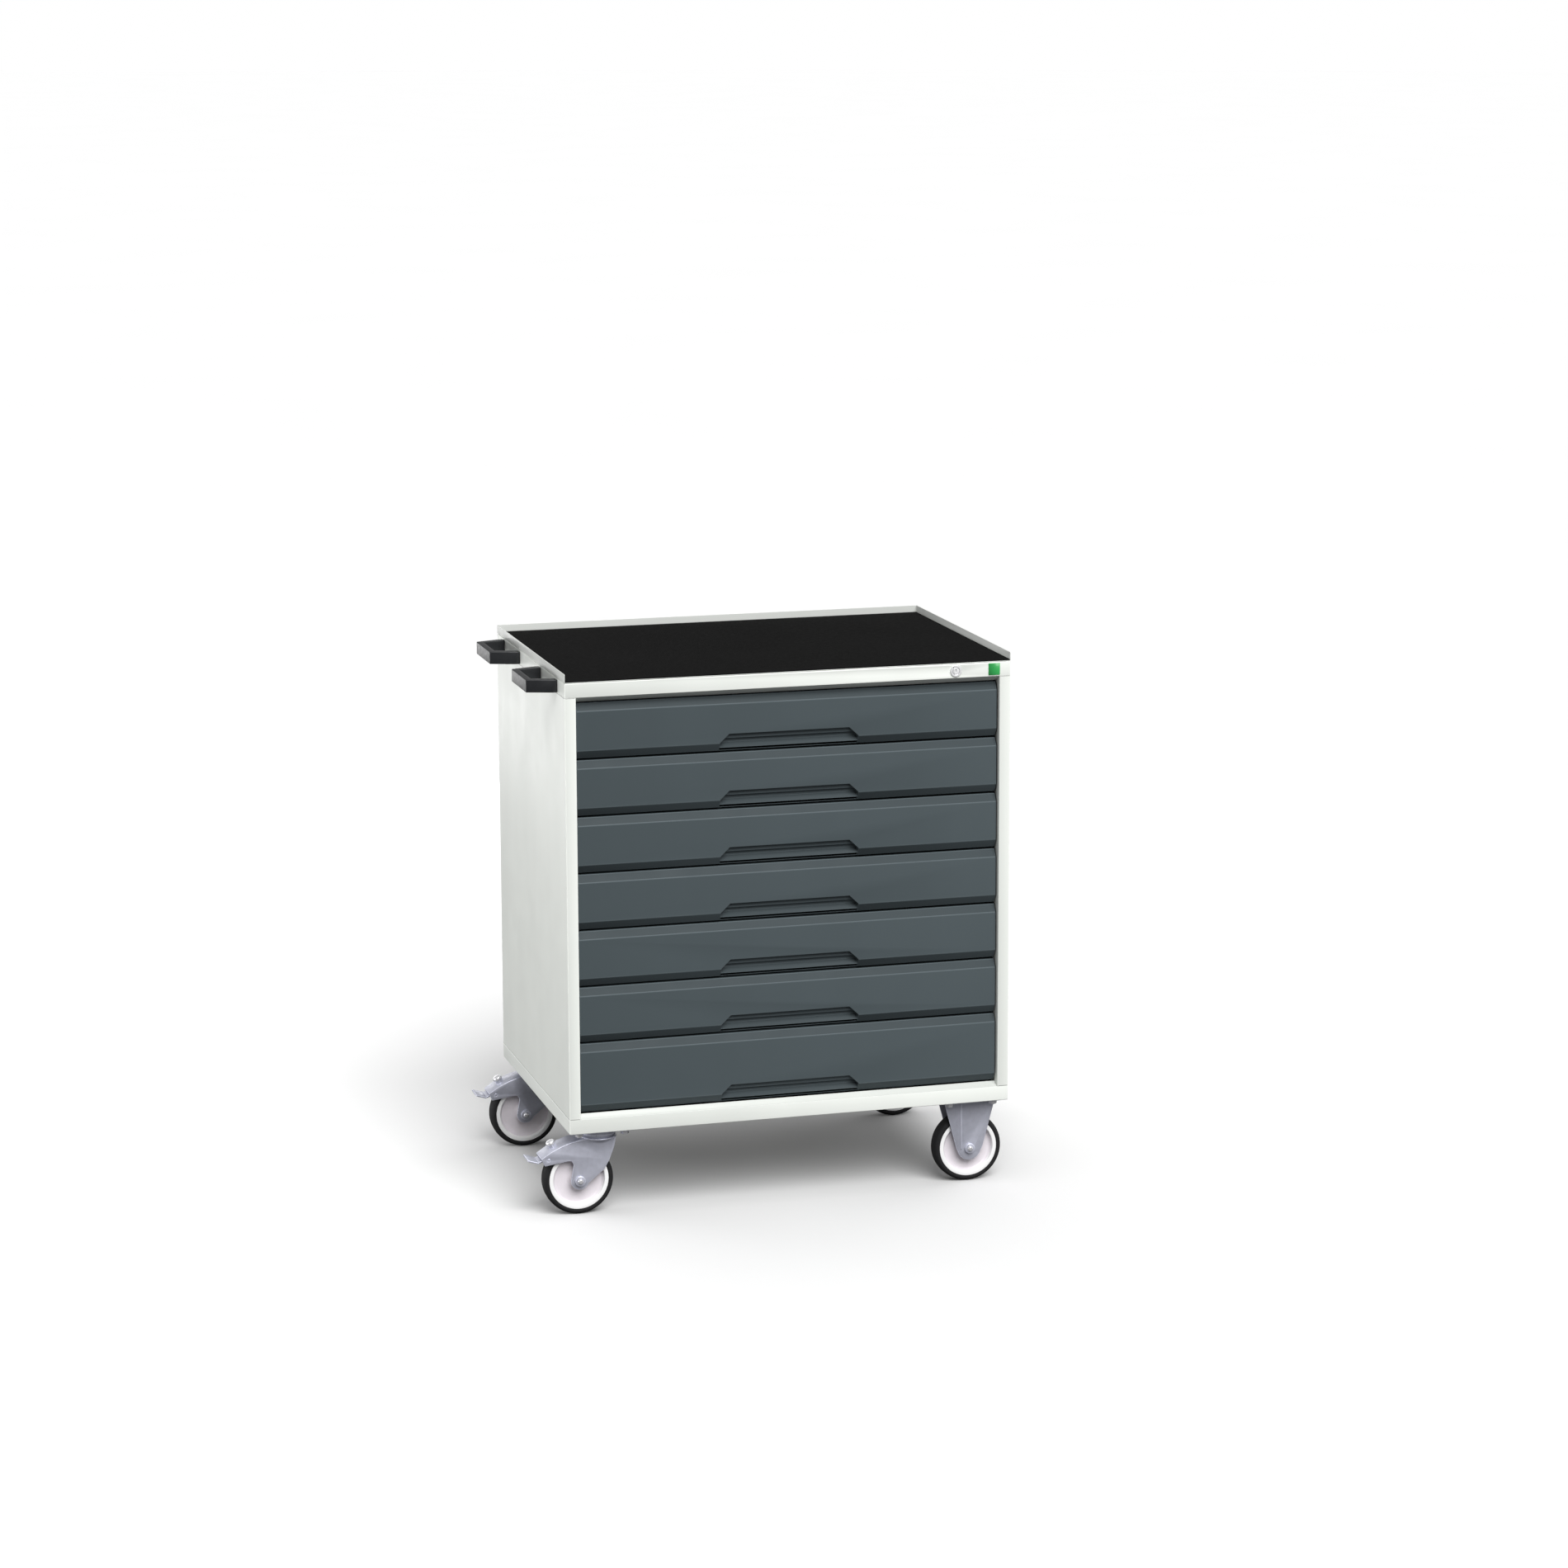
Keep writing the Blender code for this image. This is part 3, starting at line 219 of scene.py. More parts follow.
# ---- Sizes and colours that a user would change ----
class CabinetSheetSizes(bpy.types.PropertyGroup):
    """How the folded sheet and the moulded pieces are rounded."""

    fold: bpy.props.FloatProperty(
        name="Fold", description="Outer radius of a fold in the housing", default=0.0016, unit="LENGTH"
    )
    front_fold: bpy.props.FloatProperty(
        name="Front fold",
        description="Outer radius of a fold in a drawer front",
        default=0.0012,
        unit="LENGTH",
    )
    steel_edge: bpy.props.FloatProperty(
        name="Steel edge",
        description="Rounding of the castors' steel edges",
        default=0.0008,
        unit="LENGTH",
    )
    handle_edge: bpy.props.FloatProperty(
        name="Handle edge", description="Rounding of the push handles' edges", default=0.0016, unit="LENGTH"
    )


class CabinetMatSizes(bpy.types.PropertyGroup):
    """The ribbed rubber mat."""

    pitch: bpy.props.FloatProperty(
        name="Pitch", description="From one rib to the next", default=0.003, unit="LENGTH"
    )
    rib_radius: bpy.props.FloatProperty(
        name="Rib radius", description="Radius of a rib's round top", default=0.0011, unit="LENGTH"
    )


class CabinetFastenerSizes(bpy.types.PropertyGroup):
    """Bolts and rivets."""

    bolt: bpy.props.FloatProperty(
        name="Bolt", description="Across the castor bolts' heads", default=0.013, unit="LENGTH"
    )
    rivet: bpy.props.FloatProperty(
        name="Rivet", description="Across a rivet's head", default=0.0065, unit="LENGTH"
    )
    rear_rivets: bpy.props.IntProperty(
        name="Rear rivets", description="Rivets down each edge of the rear panel", default=6, min=2
    )


class CabinetColours(bpy.types.PropertyGroup):
    """The finishes' colours."""

    housing: bpy.props.FloatVectorProperty(
        name="Housing", description="Light grey powder coat", subtype="COLOR", default=(0.80, 0.825, 0.785)
    )
    # A darker grey than the housing, as painted shade for the tray's inner lips.
    tray: bpy.props.FloatVectorProperty(
        name="Top tray",
        description="Satin grey of the tray round the mat",
        subtype="COLOR",
        default=(0.60, 0.615, 0.59),
    )
    drawers: bpy.props.FloatVectorProperty(
        name="Drawers", description="Anthracite powder coat", subtype="COLOR", default=(0.071, 0.089, 0.097)
    )
    badge: bpy.props.FloatVectorProperty(
        name="Badge", description="Green enamel", subtype="COLOR", default=(0.035, 0.36, 0.085)
    )
    zinc: bpy.props.FloatVectorProperty(
        name="Zinc", description="Bright zinc plate", subtype="COLOR", default=(0.50, 0.51, 0.59)
    )


class CabinetStudio(bpy.types.PropertyGroup):
    """The floor, the lights and the camera."""

    floor: bpy.props.FloatVectorProperty(
        name="Floor", description="Colour of the floor", subtype="COLOR", default=(0.87, 0.87, 0.87)
    )
    surround: bpy.props.FloatProperty(
        name="Surround", description="Strength of the even light all round", default=0.40
    )
    key: bpy.props.FloatProperty(
        name="Key light", description="Strength of the large soft light above the front", default=3.45
    )
    card: bpy.props.FloatProperty(
        name="Side card", description="Power of each low card beside the cabinet", default=27.0, unit="POWER"
    )
    distance: bpy.props.FloatProperty(
        name="Distance", description="From the camera to what it looks at", default=7.5, unit="LENGTH"
    )
    lens: bpy.props.FloatProperty(name="Lens", description="Focal length, in millimetres", default=98.5)
    bearing: bpy.props.FloatProperty(
        name="Bearing", description="How far the camera stands to the left", default=0.2918, subtype="ANGLE"
    )
    drop: bpy.props.FloatProperty(
        name="Drop", description="How far the camera looks down", default=0.1800, subtype="ANGLE"
    )


GROUPS = {
    "cabinet_sheet": CabinetSheetSizes,
    "cabinet_mat": CabinetMatSizes,
    "cabinet_fasteners": CabinetFastenerSizes,
    "cabinet_colours": CabinetColours,
    "cabinet_studio": CabinetStudio,
}


# ---- What several parts of the script use ----
def linked(name, data):
    """A new object with this data, in the scene."""
    obj = bpy.data.objects.new(name, data)
    bpy.context.scene.collection.objects.link(obj)
    return obj


def mesh_of(bm, name):
    """What was built, as a mesh of that name."""
    mesh = bpy.data.meshes.new(name)
    bm.to_mesh(mesh)
    bm.free()
    return mesh


def maths_node(tree, operation, values):
    """A sum in a node tree, of numbers and of other nodes' outputs."""
    node = tree.nodes.new("ShaderNodeMath")
    node.operation = operation
    for socket, value in zip(node.inputs, values):
        if isinstance(value, bpy.types.NodeSocket):
            tree.links.new(value, socket)
        else:
            socket.default_value = value
    return node.outputs["Value"]


# ---- Materials ----
class Finish:
    """A material that is built node by node on the piece's own coordinates, in metres."""

    def __init__(self, name, colour, roughness, metallic=0.0, specular=0.5):
        self.name = name
        self.material = bpy.data.materials.new(name)
        self.material.use_nodes = True
        self.tree = self.material.node_tree
        self.shader = self.tree.nodes["Principled BSDF"]
        self.set("Base Color", (*colour, 1.0))
        self.set("Roughness", roughness)
        self.set("Metallic", metallic)
        self.set("Specular IOR Level", specular)
        self.colour = colour
        self.bumps = None
        self.place = self.tree.nodes.new("ShaderNodeTexCoord").outputs["Object"]

    def set(self, socket, value):
        self.shader.inputs[socket].default_value = value

    def link(self, start, end):
        self.tree.links.new(start, end)

    def stretched(self, scale):
        mapping = self.tree.nodes.new("ShaderNodeMapping")
        mapping.inputs["Scale"].default_value = scale
        self.link(self.place, mapping.inputs["Vector"])
        return mapping.outputs["Vector"]

    def noise(self, grain, detail=3.0, stretch=(1, 1, 1)):
        """Noise whose features are about the size of the grain."""
        node = self.tree.nodes.new("ShaderNodeTexNoise")
        node.inputs["Scale"].default_value = 1 / grain
        node.inputs["Detail"].default_value = detail
        self.link(self.stretched(stretch), node.inputs["Vector"])
        return node.outputs["Fac"]

    def ranged(self, value, start, end, low, high):
        """A number that runs from low to high while the value runs from start to end."""
        node = self.tree.nodes.new("ShaderNodeMapRange")
        for socket, limit in (("From Min", start), ("From Max", end), ("To Min", low), ("To Max", high)):
            node.inputs[socket].default_value = limit
        self.link(value, node.inputs["Value"])
        return node.outputs["Result"]

    def spread(self, fac, low, high):
        """A number that runs from low to high over the middle of the noise."""
        return self.ranged(fac, 0.3, 0.7, low, high)

    def tint(self, fac, low, high):
        """The colour, darkened to low and lightened to high over the noise."""
        node = self.tree.nodes.new("ShaderNodeMix")
        node.data_type = "RGBA"
        for socket, share in (("A", low), ("B", high)):
            shade = [min(1.0, c * share) for c in self.colour]
            entry = next(s for s in node.inputs if s.name == socket and s.type == "RGBA")
            entry.default_value = (*shade, 1)
        self.link(self.spread(fac, 0.0, 1.0), node.inputs["Factor"])
        out = next(s for s in node.outputs if s.type == "RGBA")
        self.link(out, self.shader.inputs["Base Color"])
        return self

    def shine(self, fac, low, high):
        self.link(self.spread(fac, low, high), self.shader.inputs["Roughness"])
        return self

    def seams(self, axis, places, width, share):
        """Thin dark lines, at places along an axis, where this sheet meets the next: painted shade of the
        gap between them.
        """
        parts = self.tree.nodes.new("ShaderNodeSeparateXYZ")
        self.link(self.place, parts.inputs["Vector"])
        nearest = None
        for place in places:
            gap = self.maths("ABSOLUTE", self.maths("SUBTRACT", parts.outputs[axis], place))
            nearest = self.maths("MINIMUM", nearest, gap) if nearest else gap
        return self.darkened(self.ranged(nearest, width / 2, width, share, 1.0))

    def shaded(self, reach, share):
        """Painted shadow: darker where other things stand close by."""
        close = self.tree.nodes.new("ShaderNodeAmbientOcclusion")
        close.inputs["Distance"].default_value = reach
        return self.darkened(self.ranged(close.outputs["AO"], 0.0, 1.0, share, 1.0))

    def painted_slope_shade(self, share):
        """Painted shade: darker on the faces that tilt up or down, so that each fold stands out."""
        facing = self.tree.nodes.new("ShaderNodeNewGeometry")
        parts = self.tree.nodes.new("ShaderNodeSeparateXYZ")
        self.link(facing.outputs["Normal"], parts.inputs["Vector"])
        tilt = self.maths("ABSOLUTE", parts.outputs["Z"])
        return self.darkened(self.ranged(tilt, SLOPE_START, SLOPE_FULL, 1.0, share))

    def darkened(self, share):
        """The colour so far, times a share that varies over the surface."""
        darker = self.tree.nodes.new("ShaderNodeHueSaturation")
        self.link(self.shader.inputs["Base Color"].links[0].from_socket, darker.inputs["Color"])
        self.link(share, darker.inputs["Value"])
        self.link(darker.outputs["Color"], self.shader.inputs["Base Color"])
        return self

    def maths(self, operation, *values):
        return maths_node(self.tree, operation, values)

    def raised(self, fac, height):
        """Bumps of a real height, in metres."""
        node = self.tree.nodes.new("ShaderNodeBump")
        node.inputs["Distance"].default_value = height
        self.link(fac, node.inputs["Height"])
        if self.bumps:
            self.link(self.bumps, node.inputs["Normal"])
        self.bumps = node.outputs["Normal"]
        self.link(self.bumps, self.shader.inputs["Normal"])
        return self


def powder_coat(name, colour, roughness, specular=0.5):
    """Baked powder: a fine orange peel, and faint drifts in colour and shine; the colour drifts run upright,
    partly as painted reflection streaks.
    """
    coat = Finish(name, colour, roughness, specular=specular)
    coat.tint(coat.noise(COAT_DRIFT_STREAK, 2.0, (1, 1, 0.3)), 0.975, 1.02)
    coat.shine(coat.noise(COAT_CLOUD), roughness - 0.04, roughness + 0.05)
    grain, height = COAT_PEEL
    return coat.raised(coat.noise(grain, 2.0), height)


def panel_paint(colours):
    """The housing's paint on a side panel, with painted shade for the dark joints at its top and bottom
    edges.
    """
    coat = powder_coat("panel_paint", colours.housing, 0.42)
    low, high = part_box(PANELS[0])
    return coat.seams("Z", (low.z, high.z), JOINT_WIDTH, JOINT_SHADE)


def rubber(name, colour, grain, specular):
    """Rubber: dull, with a fine moulded grain and a bloom of dust."""
    skin = Finish(name, colour, 0.85, specular=specular)
    skin.tint(skin.noise(DUST_CLOUD, 1.0), 0.95, 1.06)
    skin.shine(skin.noise(DULL_CLOUD), 0.78, 0.92)
    return skin.raised(skin.noise(grain, 4.0), RUBBER_HEIGHT)


def moulded_plastic(name, colour, roughness, grain=SPARK_GRAIN):
    """Moulded plastic with a spark-eroded grain."""
    body = Finish(name, colour, roughness)
    body.tint(body.noise(MOULD_CLOUD), 0.96, 1.03)
    body.shine(body.noise(MOULD_SHINE), roughness - 0.05, roughness + 0.06)
    return body.raised(body.noise(grain, 2.0), SPARK_HEIGHT)


def plated_steel(name, colour, roughness, metallic=0.75):
    """Zinc plate over pressed steel: soft clouds, and faint drawing lines along the sheet."""
    plate = Finish(name, colour, roughness, metallic)
    plate.tint(plate.noise(ZINC_CLOUD, 4.0), 0.93, 1.05)
    plate.shine(plate.noise(ZINC_SHINE, 3.0), roughness - 0.07, roughness + 0.10)
    for (grain, height), stretch in ((SHEET_WAVE, (1, 1, 1)), (DRAWING_LINE, (0.15, 1, 1))):
        plate.raised(plate.noise(grain, 2.0, stretch), height)
    return plate


def polished_metal(name, colour, roughness):
    """Bright metal with fine polishing marks."""
    metal = Finish(name, colour, roughness, 0.7)
    metal.shine(metal.noise(POLISH_CLOUD), roughness, roughness + 0.08)
    grain, height = POLISH_GRAIN
    return metal.raised(metal.noise(grain, 2.0), height)


def make_finishes(colours):
    """Every finish by name."""
    # Brighter copies of the paints and the zinc: painted highlights for the rounded edges.
    housing_edge_highlight = [HOUSING_HIGHLIGHT_SHARE * c for c in colours.housing]
    drawer_edge_highlight = [DRAWER_HIGHLIGHT_SHARE * c for c in colours.drawers]
    zinc_edge_highlight = [min(1.0, ZINC_HIGHLIGHT_SHARE * c) for c in colours.zinc]
    finishes = (
        powder_coat("housing_paint", colours.housing, 0.42),
        powder_coat("housing_edge_highlight", housing_edge_highlight, 0.36),
        panel_paint(colours),
        # The tray's darker grey is painted shade.
        powder_coat("tray_shaded_paint", colours.tray, 0.40),
        # The drawers' paint carries painted shade on its tilted faces.
        powder_coat("drawer_paint", colours.drawers, 0.58, 0.12).painted_slope_shade(SLOPE_PAINTED_SHADE),
        rubber("mat_rubber", (0.0115, 0.0115, 0.0115), 0.0007, 0.06),
        moulded_plastic("handle_plastic", (0.0105, 0.0115, 0.0135), 0.40),
        plated_steel("zinc_steel", colours.zinc, 0.38, 0.4),
        plated_steel("zinc_edge_highlight", zinc_edge_highlight, 0.30, 0.4),
        powder_coat("drawer_edge_highlight", drawer_edge_highlight, 0.50, 0.2),
        plated_steel("slide_steel", (0.52, 0.53, 0.55), 0.34, 0.9),
        plated_steel("lock_chrome", (0.93, 0.935, 0.94), 0.24, 0.3),
        polished_metal("bright_nut", (0.90, 0.90, 0.93), 0.20),
        moulded_plastic("badge_green", colours.badge, 0.30, 0.002),
        moulded_plastic("rim_plastic", (0.92, 0.92, 0.92), 0.34),
        moulded_plastic("disc_plastic", (0.76, 0.715, 0.755), 0.34),
        rubber("tyre_rubber", (0.011, 0.011, 0.012), 0.0009, 0.35),
        # Black for the painted shade in the key slot and the lock's mark.
        moulded_plastic("recess_shade_black", (0.010, 0.010, 0.011), 0.5),
    )
    return {finish.name: finish for finish in finishes}


FINISHES = {}

# The finish of a piece's rounded edges, where it isn't the faces' own: a brighter finish, as a painted
# highlight along each edge.
EDGES = {
    "housing_paint": "housing_edge_highlight",
    "panel_paint": "housing_edge_highlight",
    "tray_shaded_paint": "housing_edge_highlight",
    "drawer_paint": "drawer_edge_highlight",
    "zinc_steel": "zinc_edge_highlight",
    "lock_chrome": "bright_nut",
}


# ---- Making pieces ----
def piece(name, mesh, finish, body):
    """A finished piece at the origin that rides on a body."""
    obj = linked(name, mesh)
    if not mesh.materials:
        mesh.materials.append(FINISHES[finish].material)
    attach(obj, body)
    return obj


def body_of(node):
    return frame["nodes"][node]["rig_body"]


def middle_of(node):
    low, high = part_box(node)
    return (low + high) / 2


def across(face, edge):
    """How far a face reaches inwards from the middle of one of its edges."""
    loop = next(corner for corner in face.loops if corner.edge is edge)
    start = (edge.verts[0].co + edge.verts[1].co) / 2
    along = (loop.link_loop_next.vert.co - loop.vert.co).normalized()
    inward = face.normal.cross(along)
    found = [1.0]
    for other in face.edges:
        ends = [vert.co - start for vert in other.verts]
        sides = [end.dot(along) for end in ends]
        if other is edge or sides[0] * sides[1] > 0 or sides[0] == sides[1]:
            continue
        share = sides[0] / (sides[0] - sides[1])
        reach = ends[0].dot(inward) * (1 - share) + ends[1].dot(inward) * share
        if reach > MERGE:
            found.append(reach)
    return min(found)


def rounding(edge, radius):
    """The rounding that one edge has room for, as a share of the radius."""
    if len(edge.link_faces) != 2 or edge.calc_face_angle(0) < SHARP:
        return 0.0
    room = min(across(face, edge) for face in edge.link_faces)
    most = radius if edge.is_convex else radius * INNER_ROUNDING
    return min(most, ROUNDING_ROOM * room) / radius


def rounded_copy(node, finish, edge_finish, radius, segments=2):
    """A node's mesh with its edges rounded, as far as each sheet's thickness has room.

    The body has one finish, and the rounded edges another; where that one is brighter, it is a painted
    highlight along the edge.
    """
    bm = bmesh.new()
    bm.from_mesh(frame["nodes"][node].data)
    bmesh.ops.remove_doubles(bm, verts=bm.verts, dist=MERGE)
    bmesh.ops.dissolve_limit(bm, angle_limit=FLAT, verts=bm.verts, edges=bm.edges)
    bm.normal_update()
    weights = bm.edges.layers.float.new("bevel_weight_edge")
    for edge in bm.edges:
        edge[weights] = rounding(edge, radius)
    for face in bm.faces:
        face.smooth = True
    mesh = mesh_of(bm, f"{node}_rough")
    for name in (finish, edge_finish):
        mesh.materials.append(FINISHES[name].material)
    obj = linked(f"{node}_rough", mesh)
    bevel = obj.modifiers.new("edges", "BEVEL")
    bevel.width = radius
    bevel.segments = segments
    bevel.limit_method = "WEIGHT"
    bevel.use_clamp_overlap = False
    bevel.harden_normals = True
    bevel.material = 1
    return plain_mesh(obj, f"{node}_finished")


def plain_mesh(obj, name):
    """The object's evaluated shape as a mesh of its own. The object is removed."""
    bpy.context.view_layer.update()
    graph = bpy.context.evaluated_depsgraph_get()
    shown = obj.evaluated_get(graph)
    mesh = bpy.data.meshes.new_from_object(shown, preserve_all_data_layers=True, depsgraph=graph)
    mesh.name = name
    bpy.data.objects.remove(obj)
    if not mesh.polygons:
        raise RuntimeError(f"{name} came out empty")
    return mesh


def rounded_piece(node, finish, radius, segments=2):
    mesh = rounded_copy(node, finish, EDGES.get(finish, finish), radius, segments)
    obj = piece(f"{node}_finished", mesh, finish, body_of(node))
    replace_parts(obj, node)
    return obj


def fillet(profile, radius, steps=3):
    """A profile with each inner corner rounded, as far as its sides have room."""
    points = [profile[0]]
    for before, corner, after in zip(profile, profile[1:], profile[2:]):
        a, b, c = Vector(before), Vector(corner), Vector(after)
        room = min(radius, (a - b).length / 2.2, (c - b).length / 2.2)
        start, end = b + (a - b).normalized() * room, b + (c - b).normalized() * room
        for i in range(steps + 1):
            t = i / steps
            points.append(tuple(start * (1 - t) ** 2 + b * 2 * t * (1 - t) + end * t**2))
    points.append(profile[-1])
    return points


def turned_mesh(name, profile, centre, finishes, steps=72, bands=None, closed=False):
    """A round piece about an axis along Y.

    The profile is (radius, place along Y). Bands say up to which radius each finish goes.
    """
    bm = bmesh.new()
    rings = []
    for radius, along in profile:
        if radius < MERGE:
            rings.append([bm.verts.new((centre[0], centre[1] + along, centre[2]))])
            continue
        ring = []
        for i in range(steps):
            angle = 2 * pi * i / steps
            at = (centre[0] + radius * cos(angle), centre[1] + along, centre[2] + radius * sin(angle))
            ring.append(bm.verts.new(at))
        rings.append(ring)
    pairs = list(zip(rings, rings[1:])) + ([(rings[-1], rings[0])] if closed else [])
    for low, high in pairs:
        for i in range(steps):
            j = (i + 1) % steps
            corners = [ring[k % len(ring)] for ring, k in ((low, i), (low, j), (high, j), (high, i))]
            corners = [v for k, v in enumerate(corners) if v not in corners[:k]]
            bm.faces.new(corners).smooth = True
    bmesh.ops.recalc_face_normals(bm, faces=bm.faces)
    for face in bm.faces:
        middle = face.calc_center_median()
        radius = Vector((middle.x - centre[0], middle.z - centre[2])).length
        face.material_index = sum(radius > band for band in bands or ())
    mesh = mesh_of(bm, name)
    mesh.set_sharp_from_angle(angle=SHARP)
    for finish in finishes:
        mesh.materials.append(FINISHES[finish].material)
    return mesh


# ---- Geometry Nodes ----
class Tree:
    """A Geometry Nodes tree with named inputs, built node by node."""

    KINDS = {"length": "NodeSocketFloat", "count": "NodeSocketInt", "place": "NodeSocketVector"}

    def __init__(self, name):
        self.group = bpy.data.node_groups.new(name, "GeometryNodeTree")
        self.entry = self.group.nodes.new("NodeGroupInput")
        self.group.interface.new_socket("Geometry", in_out="OUTPUT", socket_type="NodeSocketGeometry")
        self.ids = {}

    def input(self, name, kind, default=(0, 0, 0)):
        item = self.group.interface.new_socket(name, in_out="INPUT", socket_type=self.KINDS[kind])
        item.default_value = default
        self.ids[name] = item.identifier
        return self.entry.outputs[name]

    def node(self, kind, settings=None, **inputs):
        """A node with some properties set, and its inputs linked or set by name."""
        node = self.group.nodes.new(kind)
        for key, value in (settings or {}).items():
            setattr(node, key, value)
        for key, value in inputs.items():
            socket = next(s for s in node.inputs if s.name == key.replace("_", " ") and s.enabled)
            if isinstance(value, bpy.types.NodeSocket):
                self.group.links.new(value, socket)
            else:
                socket.default_value = value
        return node

    def maths(self, operation, *values):
        return maths_node(self.group, operation, values)

    def vector(self, x=0.0, y=0.0, z=0.0):
        return self.node("ShaderNodeCombineXYZ", X=x, Y=y, Z=z).outputs["Vector"]

    def moved(self, geometry, offset, turn=(0, 0, 0), scale=(1, 1, 1)):
        places = {"Translation": offset, "Rotation": turn, "Scale": scale}
        return self.node("GeometryNodeTransform", Geometry=geometry, **places).outputs["Geometry"]

    def joined(self, *parts):
        node = self.group.nodes.new("GeometryNodeJoinGeometry")
        for part in parts:
            self.group.links.new(part, node.inputs["Geometry"])
        return node.outputs["Geometry"]

    def cylinder(self, vertices, radius, depth):
        node = self.node("GeometryNodeMeshCylinder", Vertices=vertices, Radius=radius, Depth=depth)
        return node.outputs["Mesh"]

    def dome(self, radius, height):
        """A round head: a squashed ball whose lower half is in the piece that it sits on."""
        ball = self.node("GeometryNodeMeshUVSphere", Segments=16, Rings=8, Radius=radius).outputs["Mesh"]
        return self.moved(ball, (0, 0, 0), scale=self.vector(1.0, 1.0, self.maths("DIVIDE", height, radius)))

    def grid(self, across, along, columns, rows):
        sizes = {"Size_X": across, "Size_Y": along, "Vertices_X": columns, "Vertices_Y": rows}
        return self.node("GeometryNodeMeshGrid", **sizes).outputs["Mesh"]

    def on_points(self, points, shape):
        node = self.node("GeometryNodeInstanceOnPoints", Points=points, Instance=shape)
        return node.outputs["Instances"]

    def finish(self, geometry, finish):
        """Ends the tree: the copies made real, shaded, and given their material."""
        real = self.node("GeometryNodeRealizeInstances", Geometry=geometry).outputs["Geometry"]
        shaded = self.node("GeometryNodeSetShadeSmooth", Geometry=real, Shade_Smooth=True)
        painted = self.node("GeometryNodeSetMaterial", Geometry=shaded.outputs["Geometry"])
        painted.inputs["Material"].default_value = FINISHES[finish].material
        leave = self.group.nodes.new("NodeGroupOutput")
        self.group.links.new(painted.outputs["Geometry"], leave.inputs["Geometry"])
        return self

    def mesh(self, name, **values):
        """What the tree makes with these values, as a plain mesh."""
        obj = linked(f"{name}_guide", bpy.data.meshes.new(f"{name}_guide"))
        modifier = obj.modifiers.new("nodes", "NODES")
        modifier.node_group = self.group
        for key, value in values.items():
            modifier[self.ids[key.replace("_", " ")]] = value
        mesh = plain_mesh(obj, name)
        mesh.set_sharp_from_angle(angle=SHARP)
        return mesh


def rib_tree():
    """A slab with round ribs that run from front to back."""
    tree = Tree("mat_ribs")
    width = tree.input("Width", "length", 0.8)
    depth = tree.input("Depth", "length", 0.5)
    slab = tree.input("Slab", "length", 0.0014)
    pitch = tree.input("Pitch", "length", 0.003)
    radius = tree.input("Rib radius", "length", 0.0011)
    top = tree.input("Top", "length", 0.0025)
    middle = tree.input("Middle", "place")
    base = tree.node("GeometryNodeMeshCube", Size=tree.vector(width, depth, slab)).outputs["Mesh"]
    base = tree.moved(base, tree.vector(0.0, 0.0, tree.maths("DIVIDE", slab, 2.0)))
    rib = tree.moved(tree.cylinder(10, radius, depth), (0, 0, 0), (pi / 2, 0, 0))
    span = tree.maths("SUBTRACT", width, tree.maths("MULTIPLY", radius, 2.0))
    count = tree.maths("ROUND", tree.maths("DIVIDE", span, pitch))
    line = tree.node("GeometryNodeMeshLine", {"mode": "END_POINTS"}, Count=tree.maths("ADD", count, 1.0))
    half = tree.maths("DIVIDE", span, 2.0)
    lift = tree.maths("SUBTRACT", top, radius)
    start = tree.vector(tree.maths("MULTIPLY", half, -1.0), 0.0, lift)
    tree.group.links.new(start, line.inputs["Start Location"])
    tree.group.links.new(tree.vector(half, 0.0, lift), line.inputs["Offset"])
    ribs = tree.on_points(line.outputs["Mesh"], rib)
    return tree.finish(tree.moved(tree.joined(base, ribs), middle), "mat_rubber")


def bolt_tree():
    """Four hexagon bolt heads with washers, at the corners of a castor's plate."""
    tree = Tree("plate_bolts")
    across = tree.input("Across", "length", 0.08)
    along = tree.input("Along", "length", 0.06)
    size = tree.input("Head", "length", 0.013)
    height = tree.input("Height", "length", 0.0053)
    middle = tree.input("Middle", "place")
    washer_height = tree.maths("MULTIPLY", height, WASHER_HEIGHT)
    parts = []
    for steps, radius, depth, place in (
        (6, tree.maths("DIVIDE", size, HEXAGON), height, BOLT_HEAD_MIDDLE),
        (16, tree.maths("MULTIPLY", size, BOLT_THREAD_RADIUS), height, BOLT_THREAD_MIDDLE),
        (32, tree.maths("MULTIPLY", size, WASHER_RADIUS), washer_height, -WASHER_HEIGHT / 2),
    ):
        offset = tree.vector(0.0, 0.0, tree.maths("MULTIPLY", height, place))
        parts.append(tree.moved(tree.cylinder(steps, radius, depth), offset))
    bolts = tree.on_points(tree.grid(across, along, 2, 2), tree.joined(*parts))
    return tree.finish(tree.moved(bolts, middle), "bright_nut")


def rivet_tree(name, finish):
    """Rows of round heads over a rectangle that stands upright, across X or across Y."""
    tree = Tree(name)
    across = tree.input("Across", "length", 0.5)
    along = tree.input("Along", "length", 0.5)
    columns = tree.input("Columns", "count", 2)
    rows = tree.input("Rows", "count", 6)
    size = tree.input("Head", "length", 0.0065)
    height = tree.input("Height", "length", 0.001)
    middle = tree.input("Middle", "place")
    turn = tree.input("Turn", "place")
    head = tree.dome(tree.maths("DIVIDE", size, 2.0), height)
    heads = tree.on_points(tree.grid(across, along, columns, rows), head)
    return tree.finish(tree.moved(heads, middle, turn), finish)


